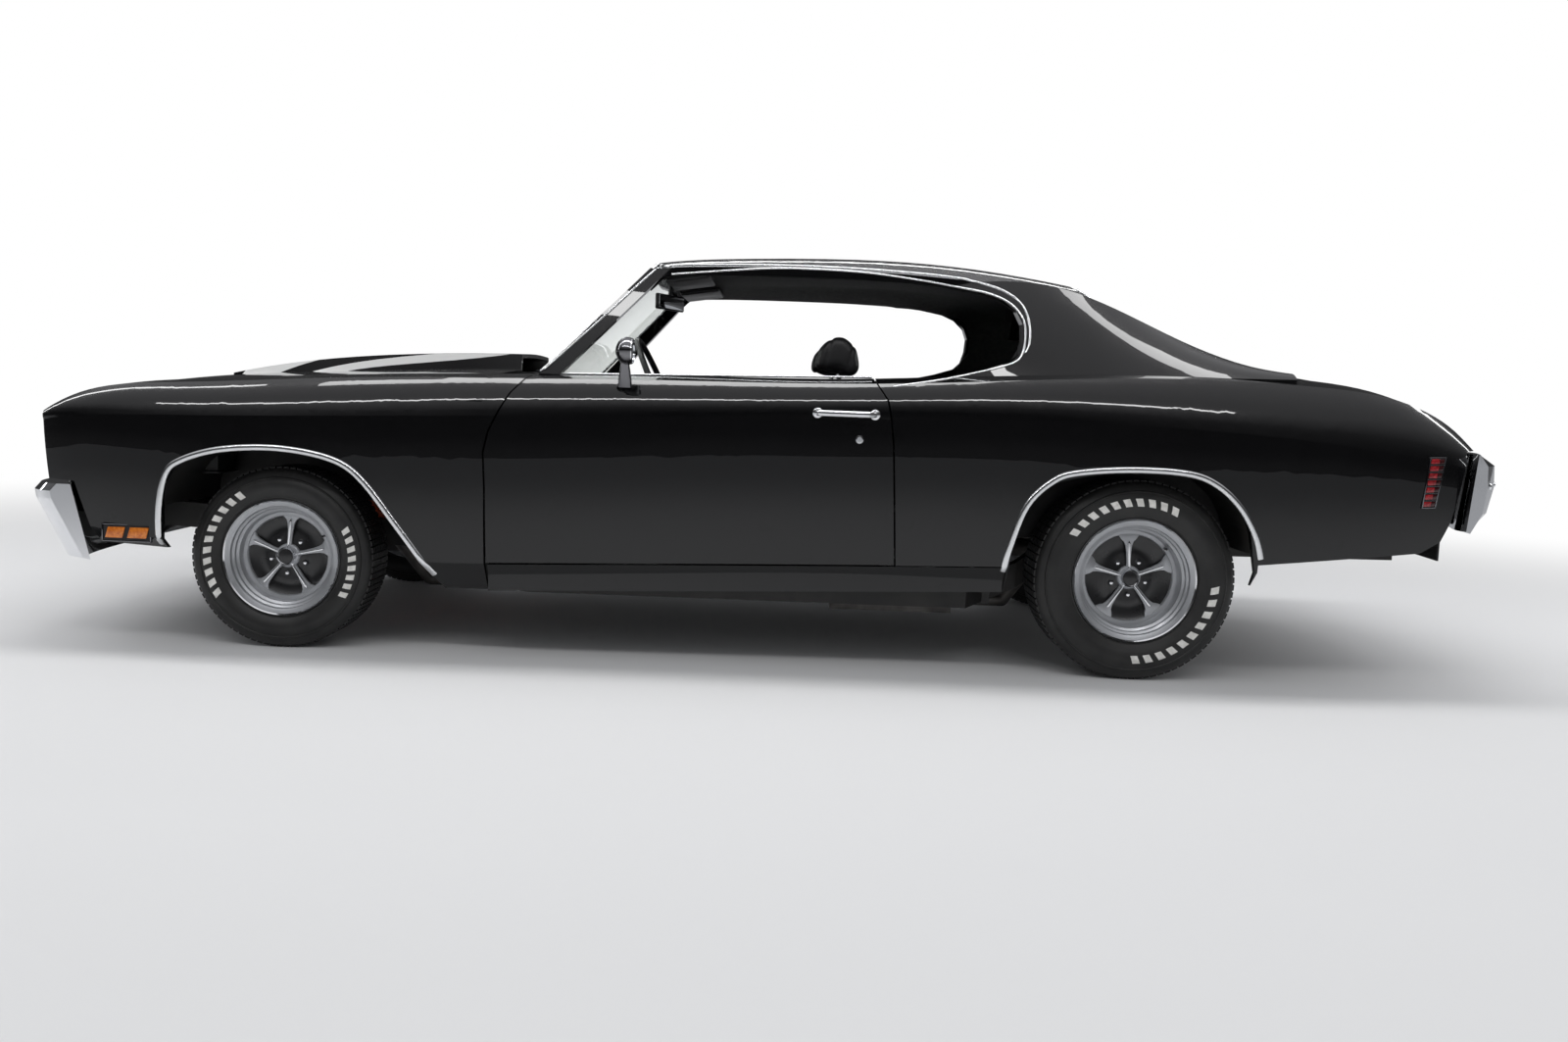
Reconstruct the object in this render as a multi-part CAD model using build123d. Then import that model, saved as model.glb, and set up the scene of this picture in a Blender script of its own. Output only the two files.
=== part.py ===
# Two-door hardtop muscle car, full size, millimetres.
# +X points forward, +Y to the driver's left, +Z up; the ground is z = 0 and x = 0 is mid-length.
from build123d import *
import math
import os

os.makedirs("parts", exist_ok=True)

# ---------------------------------------------------------------- driving dimensions
overall_length = 5009.0
front_overhang = 904.0
wheelbase = 2845.0
front_track = 1524.0
rear_track = 1519.0
shut_gap = 6.0          # gap round doors, hood and deck lid
seat_gap = 0.3          # gap where one piece sits on another
skin = 20.0             # panel with its inner flange
door_depth = 115.0      # whole door, outer skin to inner skin

front_axle_x = overall_length / 2 - front_overhang
rear_axle_x = front_axle_x - wheelbase
front_tyre_radius = 304.0
rear_tyre_radius = 336.0
front_tyre_width = 225.0
rear_tyre_width = 255.0
front_rim_radius = 178.0
rear_rim_radius = 190.5
front_rim_width = 178.0
rear_rim_width = 203.0
rim_lip = 17.0
spoke_count = 5

roof_thickness = 28.0
hood_half_width = 700.0
deck_half_width = 640.0
cabin_floor_height = 295.3


# ---------------------------------------------------------------- small helpers
def save(name, shape):
    shape.label = name
    export_step(shape, f"parts/{name}.step")


def flip(shape):
    return mirror(shape, about=Plane.XZ)


def block(x0, x1, y0, y1, z0, z1):
    return Pos((x0 + x1) / 2, (y0 + y1) / 2, (z0 + z1) / 2) * Box(x1 - x0, y1 - y0, z1 - z0)


def side_prism(outline, y0, y1):
    """A side-view outline of (x, z) points pushed through from y0 to y1."""
    face = make_face(Polyline([(x, 0, z) for x, z in outline], close=True))
    return Pos(0, y0, 0) * extrude(face, amount=y1 - y0, dir=(0, 1, 0))


def plan_prism(outline, z0, z1):
    """A plan-view outline of (x, y) points raised from z0 to z1."""
    face = make_face(Polyline([(x, y, 0) for x, y in outline], close=True))
    return Pos(0, 0, z0) * extrude(face, amount=z1 - z0, dir=(0, 0, 1))


def turned(profile, axis_at, axis_dir=(0, 1, 0)):
    """A closed (radius, y) profile turned about a line along Y through axis_at."""
    face = make_face(Polyline([(r, y, 0) for r, y in profile], close=True))
    ring = revolve(face, axis=Axis.Y)
    return Pos(*axis_at) * ring


def rod(start, end, radius):
    start_v = Vector(*start)
    end_v = Vector(*end)
    plane = Plane(origin=start_v, z_dir=end_v - start_v)
    return extrude(plane * Circle(radius), amount=(end_v - start_v).length)


def closed_face(edges):
    return Face(Wire(edges))


def line(a, b):
    return Edge.make_line(a, b)


def arc(a, mid, b):
    return Edge.make_three_point_arc(a, mid, b)


# ---------------------------------------------------------------- body side
# One skin runs from nose to tail and is parted at the shut lines, so that the panels line up.
# Each row: x, sill (y, z), lower crease (y, z), waist crease (y, z), shoulder (y, z), inner edge (y, z)
side_rows = [
    (2380, (800, 300), (868, 420), (872, 735), (840, 765), (700, 790)),
    (2250, (835, 300), (905, 400), (915, 755), (850, 835), (700, 846)),
    (1950, (845, 300), (930, 360), (938, 768), (852, 874), (700, 886)),
    (1450, (850, 240), (930, 322), (938, 784), (848, 907), (700, 920)),
    (860, (850, 226), (918, 320), (926, 806), (850, 930), (740, 944)),
    (240, (850, 248), (910, 340), (922, 826), (858, 942), (775, 958)),
    (-380, (850, 270), (912, 360), (926, 842), (872, 956), (775, 974)),
    (-850, (855, 280), (928, 372), (942, 852), (880, 985), (760, 1010)),
    (-1300, (860, 300), (938, 380), (950, 850), (868, 1008), (660, 1040)),
    (-1800, (850, 340), (925, 400), (940, 820), (850, 1000), (640, 1028)),
    (-2200, (820, 420), (890, 470), (905, 770), (820, 925), (640, 955)),
    (-2360, (800, 440), (860, 480), (872, 740), (800, 810), (640, 850)),
]
side_bulge = 10.0       # how far the flank stands proud of a straight line between its creases
shoulder_bulge = 16.0


def side_section(row, inner):
    """Closed section of the flank at one station; inner is the depth of the section behind the skin."""
    x, sill, low, waist, shoulder, edge = row
    a, b, d, e, f = [(x, y, z) for y, z in (sill, low, waist, shoulder, edge)]
    flank_mid = (x, (low[0] + waist[0]) / 2 + side_bulge, (low[1] + waist[1]) / 2)
    across = Vector(0, shoulder[1] - waist[1], waist[0] - shoulder[0]).normalized() * shoulder_bulge
    crown_mid = (x, (waist[0] + shoulder[0]) / 2 + across.Y, (waist[1] + shoulder[1]) / 2 + across.Z)
    f2 = (x, edge[0], edge[1] - inner)
    e2 = (x, shoulder[0] - inner, shoulder[1] - inner)
    d2 = (x, waist[0] - inner, waist[1] - inner / 2)
    b2 = (x, low[0] - inner, low[1])
    a2 = (x, sill[0] - inner, sill[1])
    return closed_face([
        line(a, b),
        arc(b, flank_mid, d),
        arc(d, crown_mid, e),
        line(e, f),
        line(f, f2),
        line(f2, e2),
        line(e2, d2),
        line(d2, b2),
        line(b2, a2),
        line(a2, a),
    ])


def side_skin(inner=skin):
    return loft([side_section(row, inner) for row in side_rows])


def core_section(row):
    """Closed section of the space between the skin and the cabin trim."""
    x, sill, low, waist, shoulder, edge = row
    s = skin / 2
    b = (x, low[0] - s, low[1])
    d = (x, waist[0] - s, waist[1])
    e = (x, shoulder[0] - s, shoulder[1] - s)
    f = (x, edge[0] + 1, edge[1] - s)
    g = (x, edge[0] + 1, edge[1] - 60)
    a = (x, low[0] - door_depth, low[1])
    flank_mid = (x, (low[0] + waist[0]) / 2 + side_bulge - s, (low[1] + waist[1]) / 2)
    return closed_face([line(a, b), arc(b, flank_mid, d), line(d, e), line(e, f), line(f, g), line(g, a)])


def side_core(first, last):
    return loft([core_section(row) for row in side_rows[first:last]])


def sill_line(x):
    """Height of the shut line under the doors."""
    return 347.6 - 0.0316 * x


# Shut lines seen from the side, (x, z)
door_front_line = [(770, 985), (785, 940), (835, 882), (867, 823), (899, 755), (914, 687), (908, 568), (905, 200)]
door_rear_line = [(-345, 1000), (-356, 954), (-391, 902), (-404, 836), (-414, 753), (-436, 340)]


def shifted(points, dx, dz=0.0):
    return [(x + dx, z + dz) for x, z in points]


def door_outline(inset):
    front = [p for p in shifted(door_front_line, -inset) if p[1] > 400]
    rear = [p for p in shifted(door_rear_line, inset) if p[1] > 400]
    low = shut_gap / 2 + inset
    front.append((905 - inset, sill_line(905) + low))
    rear.append((-436 + inset, sill_line(-436) + low))
    return front + list(reversed(rear))


def opening_face(points):
    """Wheel opening: straight legs joined by arcs; points alternate leg ends and arc middles."""
    (a, b), (c1, c2), (d1, d2), (e1, e2), g = [
        [(x, 0, z) for x, z in pair] if isinstance(pair[0], tuple) else (pair[0], 0, pair[1]) for pair in points
    ]
    return closed_face([line(a, b), arc(b, c1, c2), arc(c2, d1, d2), arc(d2, e1, e2), line(e2, g), line(g, a)])


def opening_cutter(points, y0=560, y1=1000):
    return Pos(0, y0, 0) * extrude(opening_face(points), amount=y1 - y0, dir=(0, 1, 0))


def placed(points, axle_x):
    """Opening points measured from an axle, moved to that axle."""
    return [
        tuple((axle_x + x, z) for x, z in pair) if isinstance(pair[0], tuple) else (axle_x + pair[0], pair[1])
        for pair in points
    ]


# x measured from the axle, z
front_opening = placed([
    ((366, 150), (361, 470)),
    ((324, 590), (250, 636)),
    ((26, 665), (-201, 632)),
    ((-256, 600), (-311, 545)),
    (-601, 150),
], front_axle_x)
rear_opening = placed([
    ((445, 150), (430, 420)),
    ((377, 575), (297, 657)),
    ((46, 700), (-156, 686)),
    ((-266, 635), (-346, 515)),
    (-416, 150),
], rear_axle_x)
opening_front_x = rear_axle_x + 438.5       # ends of the rear wheel's opening at the sill
opening_rear_x = rear_axle_x - 380.5

fender_outline = (
    [(2420, 1000), (2376, 745), (2350, 545), (2254, 541), (2188, 341), (1960, 328), (1960, 200), (911, 200)]
    + list(reversed(shifted(door_front_line, shut_gap)))[1:]
    + [(776, 1100), (2420, 1100)]
)
quarter_outline = (
    shifted(door_rear_line[:-1], -shut_gap)
    + [(-442, sill_line(-442) + 1), (opening_front_x, sill_line(opening_front_x) + 1), (opening_front_x, 200)]
    + [(opening_rear_x, 200), (opening_rear_x, 411)]
    + [(-2170, 466), (-2235, 505), (-2262, 571), (-2312, 806), (-2400, 812), (-2400, 1100), (-345, 1100)]
)
rocker_outline = [
    (902, sill_line(902) - shut_gap / 2),
    (opening_front_x + 7, sill_line(opening_front_x) - shut_gap / 2),
    (opening_front_x + 7, 285),
    (240, 248),
    (902, 226),
]

body_side = side_skin()

# ---------------------------------------------------------------- front fenders
amber_lamp = (2004, 2156, 352, 403)


def make_fender():
    fender = body_side & side_prism(fender_outline, 500, 1100)
    fender -= opening_cutter(front_opening)
    fender -= block(900, 2420, 600, hood_half_width, 600, 1000)
    x0, x1, z0, z1 = amber_lamp
    g = seat_gap
    fender -= block(x0 - g, x1 + g, 890, 1000, z0 - g, z1 + g)
    return fender


fender_left = make_fender()
fender_right = flip(fender_left)
save("front_fenders", Compound([fender_left, fender_right]))

# ---------------------------------------------------------------- doors
door_skin = body_side & side_prism(door_outline(0), 600, 1100)
door_core = side_core(4, 8) & side_prism(door_outline(18), 600, 1100)
hinge_leaf = 6.0
hinge_heights = (450.0, 740.0)
door_left = door_skin + door_core - block(600, 930, 600, 772, 300, 1000)
for z in hinge_heights:
    door_left += block(830, 925, 805, 840, z, z + hinge_leaf)
save("door_left", door_left)
save("door_right", flip(door_left))

# ---------------------------------------------------------------- quarters and rockers
red_marker = [(-2172, 783), (-2226, 785), (-2198, 621), (-2153, 619)]


def grown(outline, amount):
    """Side-view outline made larger all round."""
    x_mid = sum(x for x, z in outline) / len(outline)
    z_mid = sum(z for x, z in outline) / len(outline)
    return [(x + math.copysign(amount, x - x_mid), z + math.copysign(amount, z - z_mid)) for x, z in outline]


def make_quarter():
    jamb = side_core(5, 10) & side_prism(quarter_outline, 600, 1100) & block(-815, -340, 600, 1000, 300, 1100)
    quarter = (body_side & side_prism(quarter_outline, 500, 1100)) + jamb
    quarter -= opening_cutter(rear_opening)
    quarter -= block(-2420, -1300, 500, deck_half_width, 600, 1100)
    return quarter - side_prism(grown(red_marker, seat_gap), 800, 1000)


quarter_left = make_quarter()
quarter_right = flip(quarter_left)
save("quarter_panels", Compound([quarter_left, quarter_right]))


def make_rocker():
    sill = side_prism(rocker_outline, 800, 890)
    return (body_side & side_prism(rocker_outline, 500, 1100)) + sill


rocker_left = make_rocker()
save("rockers", Compound([rocker_left, flip(rocker_left)]))

# ---------------------------------------------------------------- side marker lamps
def make_markers():
    x0, x1, z0, z1 = amber_lamp
    amber = block(x0, x1, 895, 925, z0, z1)
    return amber


amber_left = make_markers()
save("amber_markers", Compound([amber_left, flip(amber_left)]))
red_left = side_prism(red_marker, 890, 934)
save("red_markers", Compound([red_left, flip(red_left)]))

# ---------------------------------------------------------------- hood
hood_front_x = 2405.0
hood_rear_x = 925.0
hood_edge_y = hood_half_width - shut_gap
hood_hinge_x = 930.0
hood_hinge_z = 905.0
hood_hinge_y = hood_half_width - 54     # inner face of the ears that carry the pins is 8 mm further out
hinge_pin = 5.0
pin_gap = 0.08
# x, edge height, centre height
hood_rows = [
    (2420, 776, 800),
    (2250, 838, 862),
    (1900, 889, 916),
    (1450, 916, 944),
    (925, 938, 966),
]
# x, half width at foot, half width on top, top height
scoop_rows = [
    (2020, 230, 222, 916),
    (1760, 280, 246, 966),
    (1450, 300, 258, 1002),
    (925, 322, 272, 1024),
]


def crowned_sheet(x, half, z_edge, z_mid, thick):
    a, m, b = (x, -half, z_edge), (x, 0, z_mid), (x, half, z_edge)
    a2, m2, b2 = (x, -half, z_edge - thick), (x, 0, z_mid - thick), (x, half, z_edge - thick)
    return closed_face([arc(a, m, b), line(b, b2), arc(b2, m2, a2), line(a2, a)])


def scoop_section(x, foot, top, z_top, inset):
    z_foot = 850.0
    f, t, z = foot - inset, top - inset, z_top - inset
    a, b, c, d = (x, -f, z_foot), (x, -t, z - 6), (x, t, z - 6), (x, f, z_foot)
    return closed_face([line(a, b), arc(b, (x, 0, z), c), line(c, d), line(d, a)])


def plan_wall(mid_x, side_x, half, far_x, z0=0, z1=1600):
    """Everything on the far_x side of an arc seen from above."""
    a, m, b = (side_x, -half, 0), (mid_x, 0, 0), (side_x, half, 0)
    c, d = (far_x, half, 0), (far_x, -half, 0)
    return Pos(0, 0, z0) * extrude(closed_face([arc(a, m, b), line(b, c), line(c, d), line(d, a)]),
                                   amount=z1 - z0, dir=(0, 0, 1))


def make_hood():
    sheet = loft([crowned_sheet(x, hood_edge_y, z0, z1, skin) for x, z0, z1 in hood_rows])
    scoop = loft([scoop_section(*row, 0) for row in scoop_rows])
    hollow = loft([scoop_section(*row, 14) for row in scoop_rows])
    hollow &= block(925 - 1, 1700, -400, 400, 800, 1100)
    under = loft([crowned_sheet(x, hood_edge_y + 50, z0 - skin / 2, z1 - skin / 2, 400) for x, z0, z1 in hood_rows])
    hood = sheet + (scoop - under) - (hollow - under)
    hood &= plan_wall(hood_front_x, 2335, hood_edge_y, 0)
    for side in (-1, 1):
        y0, y1 = sorted((side * (hood_hinge_y - 6), side * (hood_hinge_y + 6)))
        hood += block(hood_hinge_x - 8, hood_hinge_x + 30, y0, y1, hood_hinge_z - 8, hood_hinge_z + 20)
        inner_end = (hood_hinge_x, side * (hood_hinge_y - 1), hood_hinge_z)
        outer_end = (hood_hinge_x, side * (hood_hinge_y + 22), hood_hinge_z)
        hood += rod(inner_end, outer_end, hinge_pin)
    return hood


hood = make_hood()
save("hood", hood)

# ---------------------------------------------------------------- nose panel, grille and lamps
nose_mid_x = 2452.0
nose_side_x = 2395.0
nose_half = hood_half_width - seat_gap


def nose_x(y):
    """Plan line of the leading edge."""
    return nose_mid_x - (nose_mid_x - nose_side_x) * (y / nose_half) ** 2


def nose_profile(y):
    x = nose_x(y)
    top = 812 - 14 * (y / nose_half) ** 2
    pts = [(x - 42, top), (x - 6, 778), (x, 752), (x - 6, 732), (x - 70, 726), (x - 70, top + 2)]
    return make_face(Polyline([(px, y, pz) for px, pz in pts], close=True))


nose = loft([nose_profile(y) for y in (-nose_half, -350, 0, 350, nose_half)])
nose -= plan_wall(hood_front_x + shut_gap, 2335 + shut_gap, hood_edge_y + shut_gap, 0)
save("nose_panel", nose)

lamp_z = 645.0
outer_lamp_y = 762.0
inner_lamp_y = 590.0
lamp_radius = 73.0
grille_half = 497.7
bar_count = 9


def lamp_x(y):
    return nose_x(abs(y)) - 34


def face_box(y0, y1, z0, z1, back, depth):
    """Plate that follows the plan line of the nose between y0 and y1."""
    pts = [(nose_x(y0) - back, y0), (nose_x(y1) - back, y1), (nose_x(y1) - back - depth, y1),
           (nose_x(y0) - back - depth, y0)]
    return plan_prism(pts, z0, z1)


def make_bezel():
    plate = face_box(grille_half + seat_gap, 872, 556, 725.7, 20, 60) - fender_left
    for y in (outer_lamp_y, inner_lamp_y):
        plate -= Pos(2300, y, lamp_z) * (Rot(0, 90, 0) * Cylinder(lamp_radius + seat_gap, 400))
    return plate.solids().sort_by(SortBy.VOLUME)[-1]


bezel_left = make_bezel()
save("lamp_bezels", Compound([bezel_left, flip(bezel_left)]))


def make_lamp(y):
    lens = Pos(lamp_x(y) - 30, y, lamp_z) * (Rot(0, 90, 0) * Cylinder(lamp_radius, 40))
    bowl = Pos(lamp_x(y) - 80, y, lamp_z) * (Rot(0, -90, 0) * Cone(lamp_radius, 30, 60))
    return lens + bowl


save("headlamps", Compound([make_lamp(s * y) for y in (outer_lamp_y, inner_lamp_y) for s in (-1, 1)]))


def make_grille():
    def bar(z0, z1, back, depth):
        a = plan_wall(nose_mid_x - back, nose_x(grille_half) - back, grille_half, 0, z0, z1)
        behind = back + depth
        b = plan_wall(nose_mid_x - behind, nose_x(grille_half) - behind, grille_half + 1, 0, z0 - 1, z1 + 1)
        return a - b
    z0, z1 = 558.0, 725.7
    pitch = (z1 - z0) / (bar_count - 1)
    grille = bar(638, 652, 24, 40)
    for i in range(bar_count):
        if i != (bar_count - 1) // 2:
            grille += bar(z0 + i * pitch - 6, z0 + i * pitch, 40, 26)
    for y in (-492, -246, 0, 246, 492):
        grille += block(nose_x(y) - 72, nose_x(y) - 50, y - 5, y + 5, z0, z1)
    return grille


save("grille", make_grille())

# ---------------------------------------------------------------- front bumper
# y, x of the foremost line, depth front to back
bumper_rows = [
    (0, 2504.5, 80),
    (400, 2496, 80),
    (720, 2464, 75),
    (860, 2415, 60),
    (925, 2330, 25),
]


def front_bumper_profile(y, x, depth, inset=0.0):
    t = inset
    pts = [(x - 22, 530 - t), (x - t, 506 - t), (x - 4 - t, 480), (x - 105 - t, 290 + t),
           (x - 105 - depth, 284 + t), (x - 22 - depth - 20, 530 - t)]
    return make_face(Polyline([(px, y, pz) for px, pz in pts], close=True))


def make_front_bumper():
    half = [front_bumper_profile(y, x, d) for y, x, d in bumper_rows]
    mirrored_half = [front_bumper_profile(-y, x, d) for y, x, d in reversed(bumper_rows[1:])]
    bar = loft(mirrored_half + half)
    return bar


front_bumper = make_front_bumper()
save("front_bumper", front_bumper)

# The splash pan closes the space between the bumper, the frame's rails and its front crossmember.
splash_pan = block(2120 + seat_gap, 2320, -360 + seat_gap, 360 - seat_gap, 372, 378)

# ---------------------------------------------------------------- windshield and backlight
glass = 7.0


def curved_glass(low, high):
    """Sheet between two arcs seen from above; each is (z, mid x, side x, half width)."""
    faces = []
    for z, mid_x, side_x, half in (low, high):
        a, m, b = (side_x, -half, z), (mid_x, 0, z), (side_x, half, z)
        t = glass if mid_x > 0 else -glass
        a2, m2, b2 = (side_x - t, -half, z), (mid_x - t, 0, z), (side_x - t, half, z)
        faces.append(closed_face([arc(a, m, b), line(b, b2), arc(b2, m2, a2), line(a2, a)]))
    return loft(faces, ruled=True)


windshield_low = (953, 868, 768, 705)
windshield_high = (1342, 458, 388, 585)
backlight_low = (1064, -1528, -1440, 545)
backlight_high = (1306, -1110, -1058, 548)


def glass_line(low, high, z, reach=1.15):
    """Plan line of a glass carried on to the height z, a little wider than the glass."""
    t = (z - low[0]) / (high[0] - low[0])
    mid_x, side_x, half = [low[i] + t * (high[i] - low[i]) for i in (1, 2, 3)]
    return mid_x, mid_x - (mid_x - side_x) * reach ** 2, half * reach


def glass_region(low, high, far_x, out=0.0):
    """Everything on the cabin side of a glass, pushed out by a margin along X."""
    faces = []
    for z in (880.0, 1480.0):
        mid_x, side_x, half = glass_line(low, high, z)
        a, m, b = (side_x + out, -half, z), (mid_x + out, 0, z), (side_x + out, half, z)
        c, d = (far_x, half, z), (far_x, -half, z)
        faces.append(closed_face([arc(a, m, b), line(b, c), line(c, d), line(d, a)]))
    return loft(faces, ruled=True)


windshield = curved_glass(windshield_low, windshield_high)
save("windshield", windshield)
backlight = curved_glass(backlight_low, backlight_high)
save("backlight", backlight)

# ---------------------------------------------------------------- roof
# x, rail (half width, height), height where the crown breaks at y = 440, centre height
roof_rows = [
    (470, 612, 1312, 1342, 1352),
    (300, 628, 1330, 1369, 1378),
    (0, 640, 1338, 1388, 1398),
    (-300, 640, 1337, 1395, 1405),
    (-600, 634, 1325, 1386, 1397),
    (-850, 622, 1308, 1361, 1372),
    (-1085, 606, 1284, 1323, 1335),
]
crown_break_y = 440.0


def roof_section(x, yr, zr, zs, zc):
    t = roof_thickness
    k = crown_break_y
    rail_mid_y = (yr + k) / 2 + 6
    rail_mid_z = (zr + zs) / 2 + 7
    r, s = (x, yr, zr), (x, k, zs)
    r1, s1 = (x, -yr, zr), (x, -k, zs)
    low = [(x, -yr, zr - t), (x, -k, zs - t), (x, 0, zc - t), (x, k, zs - t), (x, yr, zr - t)]
    return closed_face([
        arc(r, (x, rail_mid_y, rail_mid_z), s),
        arc(s, (x, 0, zc), s1),
        arc(s1, (x, -rail_mid_y, rail_mid_z), r1),
        line(r1, low[0]),
        line(low[0], low[1]),
        arc(low[1], low[2], low[3]),
        line(low[3], low[4]),
        line(low[4], r),
    ])


# x, foot (y, z), head (y, z), thickness of the sail panel
sail_rows = [
    (-340, (788, 968), (641, 1336), 36),
    (-720, (800, 990), (630, 1318), 36),
    (-1070, (815, 1004), (608, 1288), 36),
    (-1320, (815, 1012), (606, 1188), 30),
    (-1560, (802, 1018), (652, 1088), 12),
    (-1770, (772, 1022), (690, 1040), 8),
]
window_outline = [
    (760, 900), (760, 952), (640, 1062), (357, 1300), (28, 1329), (-148, 1331), (-325, 1325), (-502, 1310), (-640, 1292),
    (-730, 1276), (-790, 1252), (-830, 1217), (-849, 1174), (-848, 1120), (-836, 1072), (-808, 1044), (-723, 1017),
    (-587, 985), (-365, 958), (-340, 900),
]


def sail_section(x, foot, head, thick):
    (yb, zb), (yt, zt) = foot, head
    mid = (x, (yb + yt) / 2 + 10, (zb + zt) / 2 + 8)
    a, b = (x, yb, zb - 30), (x, yb, zb)
    c = (x, yt, zt)
    d, e = (x, yt - thick, zt - thick * 0.4), (x, yb - thick - 10, zb - 30)
    return closed_face([line(a, b), arc(b, mid, c), line(c, d), line(d, e), line(e, a)])


def filled_section(row, lift):
    """The whole space under the shoulder of the flank at one station, raised by a gap."""
    x, sill, low, waist, shoulder, edge = row
    d, e, f = [(x, y, z + lift) for y, z in (waist, shoulder, edge)]
    g, h = (x, 400, edge[1] + lift), (x, 400, waist[1] + lift)
    across = Vector(0, e[2] - d[2], d[1] - e[1]).normalized() * shoulder_bulge
    crown_mid = (x, (d[1] + e[1]) / 2 + across.Y, (d[2] + e[2]) / 2 + across.Z)
    return closed_face([arc(d, crown_mid, e), line(e, f), line(f, g), line(g, h), line(h, d)])


def make_sail():
    sail = loft([sail_section(*row) for row in sail_rows])
    under = loft([filled_section(row, seat_gap) for row in side_rows])
    sail = sail - side_prism(window_outline, 400, 1000) - under
    return sail.solids().sort_by(SortBy.VOLUME)[-1]


def make_pillar():
    """Windshield pillar: a tapered bar from the cowl corner up to the roof rail."""
    faces = []
    for z, x0, x1, y0, y1 in ((948, 702, 768, 712, 766), (1322, 352, 420, 584, 634)):
        faces.append(make_face(Polyline([(x0, y0, z), (x1, y0, z), (x1, y1, z), (x0, y1, z)], close=True)))
    return loft(faces, ruled=True)


glass_corner_y = windshield_high[3]


def make_roof():
    cap = loft([roof_section(*row) for row in roof_rows])
    inside_front = glass_region(windshield_low, windshield_high, -3000, 6)
    inside_rear = glass_region(backlight_low, backlight_high, 3000, -6)
    behind = block(-3000, 470, -720, 720, 1200, 1500)
    cap = cap & (inside_front + block(-3000, 380, -720, 720, 1200, 1500))
    cap = cap & (inside_rear + block(-1050, 3000, -720, 720, 1200, 1500)) & behind
    sail = make_sail()
    pillar = make_pillar()
    roof = cap + sail + flip(sail) + pillar + flip(pillar)
    # the windshield pillars are stampings of their own, welded on behind the corners of the glass
    seam_x, seam_y = 380.0, glass_corner_y
    for side in (-1, 1):
        y0, y1 = sorted((side * (seam_y - seat_gap), side * 900))
        roof -= block(seam_x, seam_x + seat_gap, y0, y1, 900, 1500)
        y0, y1 = sorted((side * (seam_y - seat_gap), side * seam_y))
        roof -= block(seam_x, 600, y0, y1, 900, 1500)
    return roof - windshield - backlight


roof = make_roof()
save("roof", roof)

# ---------------------------------------------------------------- deck: tulip panel, lid and tail
deck_front_x = -1600.0
deck_rear_x = -2262.0
# x, edge height, centre height
deck_rows = [
    (-1440, 1066, 1094),
    (-1600, 1052, 1080),
    (-1850, 1026, 1052),
    (-2080, 988, 1010),
    (-2275, 925, 944),
]
deck_edge_y = deck_half_width - shut_gap
deck_skin = 14.0


def deck_sheet(half, thick=skin):
    return loft([crowned_sheet(x, half, z0, z1, thick) for x, z0, z1 in deck_rows])


deck_front_gap = 8.0
lid_hinge_x = -1350.0
lid_hinge_z = 1030.0
lid_arm_y = 578.0
tulip = deck_sheet(deck_half_width - seat_gap, deck_skin)
tulip &= block(deck_front_x + deck_front_gap, -1300, -700, 700, 900, 1200)
tulip -= glass_region(backlight_low, backlight_high, 0, -seat_gap)
tulip -= roof
save("tulip_panel", tulip)


def make_lid_arm(side):
    """Goose-neck arm: drops from its pivot, then curves up to the lid behind the panel's edge."""
    y = side * lid_arm_y
    reach = 290.0
    route = [(lid_hinge_x, y, lid_hinge_z)]
    for angle in (60, 44, 30, 15, 2):
        a = math.radians(angle)
        route.append((lid_hinge_x - reach * math.cos(a), y, lid_hinge_z - reach * math.sin(a)))
    route.append((lid_hinge_x - reach - 10, y, lid_hinge_z + 14))
    arm = rod((lid_hinge_x, side * (lid_arm_y - 20), lid_hinge_z), (lid_hinge_x, side * (lid_arm_y + 6), lid_hinge_z),
              hinge_pin)
    for start, end in zip(route, route[1:]):
        arm += rod(start, end, 8) + Pos(*start) * Sphere(8)
    return arm


def make_decklid():
    lid = deck_sheet(deck_edge_y, deck_skin)
    lid &= plan_wall(deck_rear_x - 40, deck_rear_x + 20, deck_edge_y, deck_front_x)
    return lid + make_lid_arm(1) + make_lid_arm(-1)


decklid = make_decklid()
save("decklid", decklid)

def tail_x(y):
    return -2462 + 75 * (y / 800) ** 2


def tail_profile(y):
    x = tail_x(y)
    top = 922 - 34 * (y / 800) ** 2
    pts = [(x + 150, top), (x + 130, top + 3), (x + 18, 826), (x, 800.3), (x + 20, 800.3), (x + 34, 822)]
    pts.append((x + 150, top - 18))
    return make_face(Polyline([(px, y, pz) for px, pz in pts], close=True))


tail = loft([tail_profile(y) for y in (-639.7, -300, 0, 300, 639.7)])
tail -= plan_wall(deck_rear_x - 40 - shut_gap, deck_rear_x + 20 - shut_gap, deck_edge_y + 10, -1000)
save("tail_panel", tail)

# y, x of the rearmost line, set-back of the lower edge, depth front to back
rear_bumper_rows = [
    (0, -2504.5, 80, 90),
    (400, -2497, 80, 90),
    (720, -2466, 80, 90),
    (860, -2412, 78, 78),
    (928, -2356, 44, 26),
]


def rear_bumper_profile(y, x, back, depth):
    pts = [(x + back * 0.75, 800), (x + 4, 762), (x, 690), (x + back * 0.22, 606), (x + back, 540),
           (x + back + depth * 0.5, 546), (x + depth + 10, 800)]
    return make_face(Polyline([(px, y, pz) for px, pz in pts], close=True))


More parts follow.
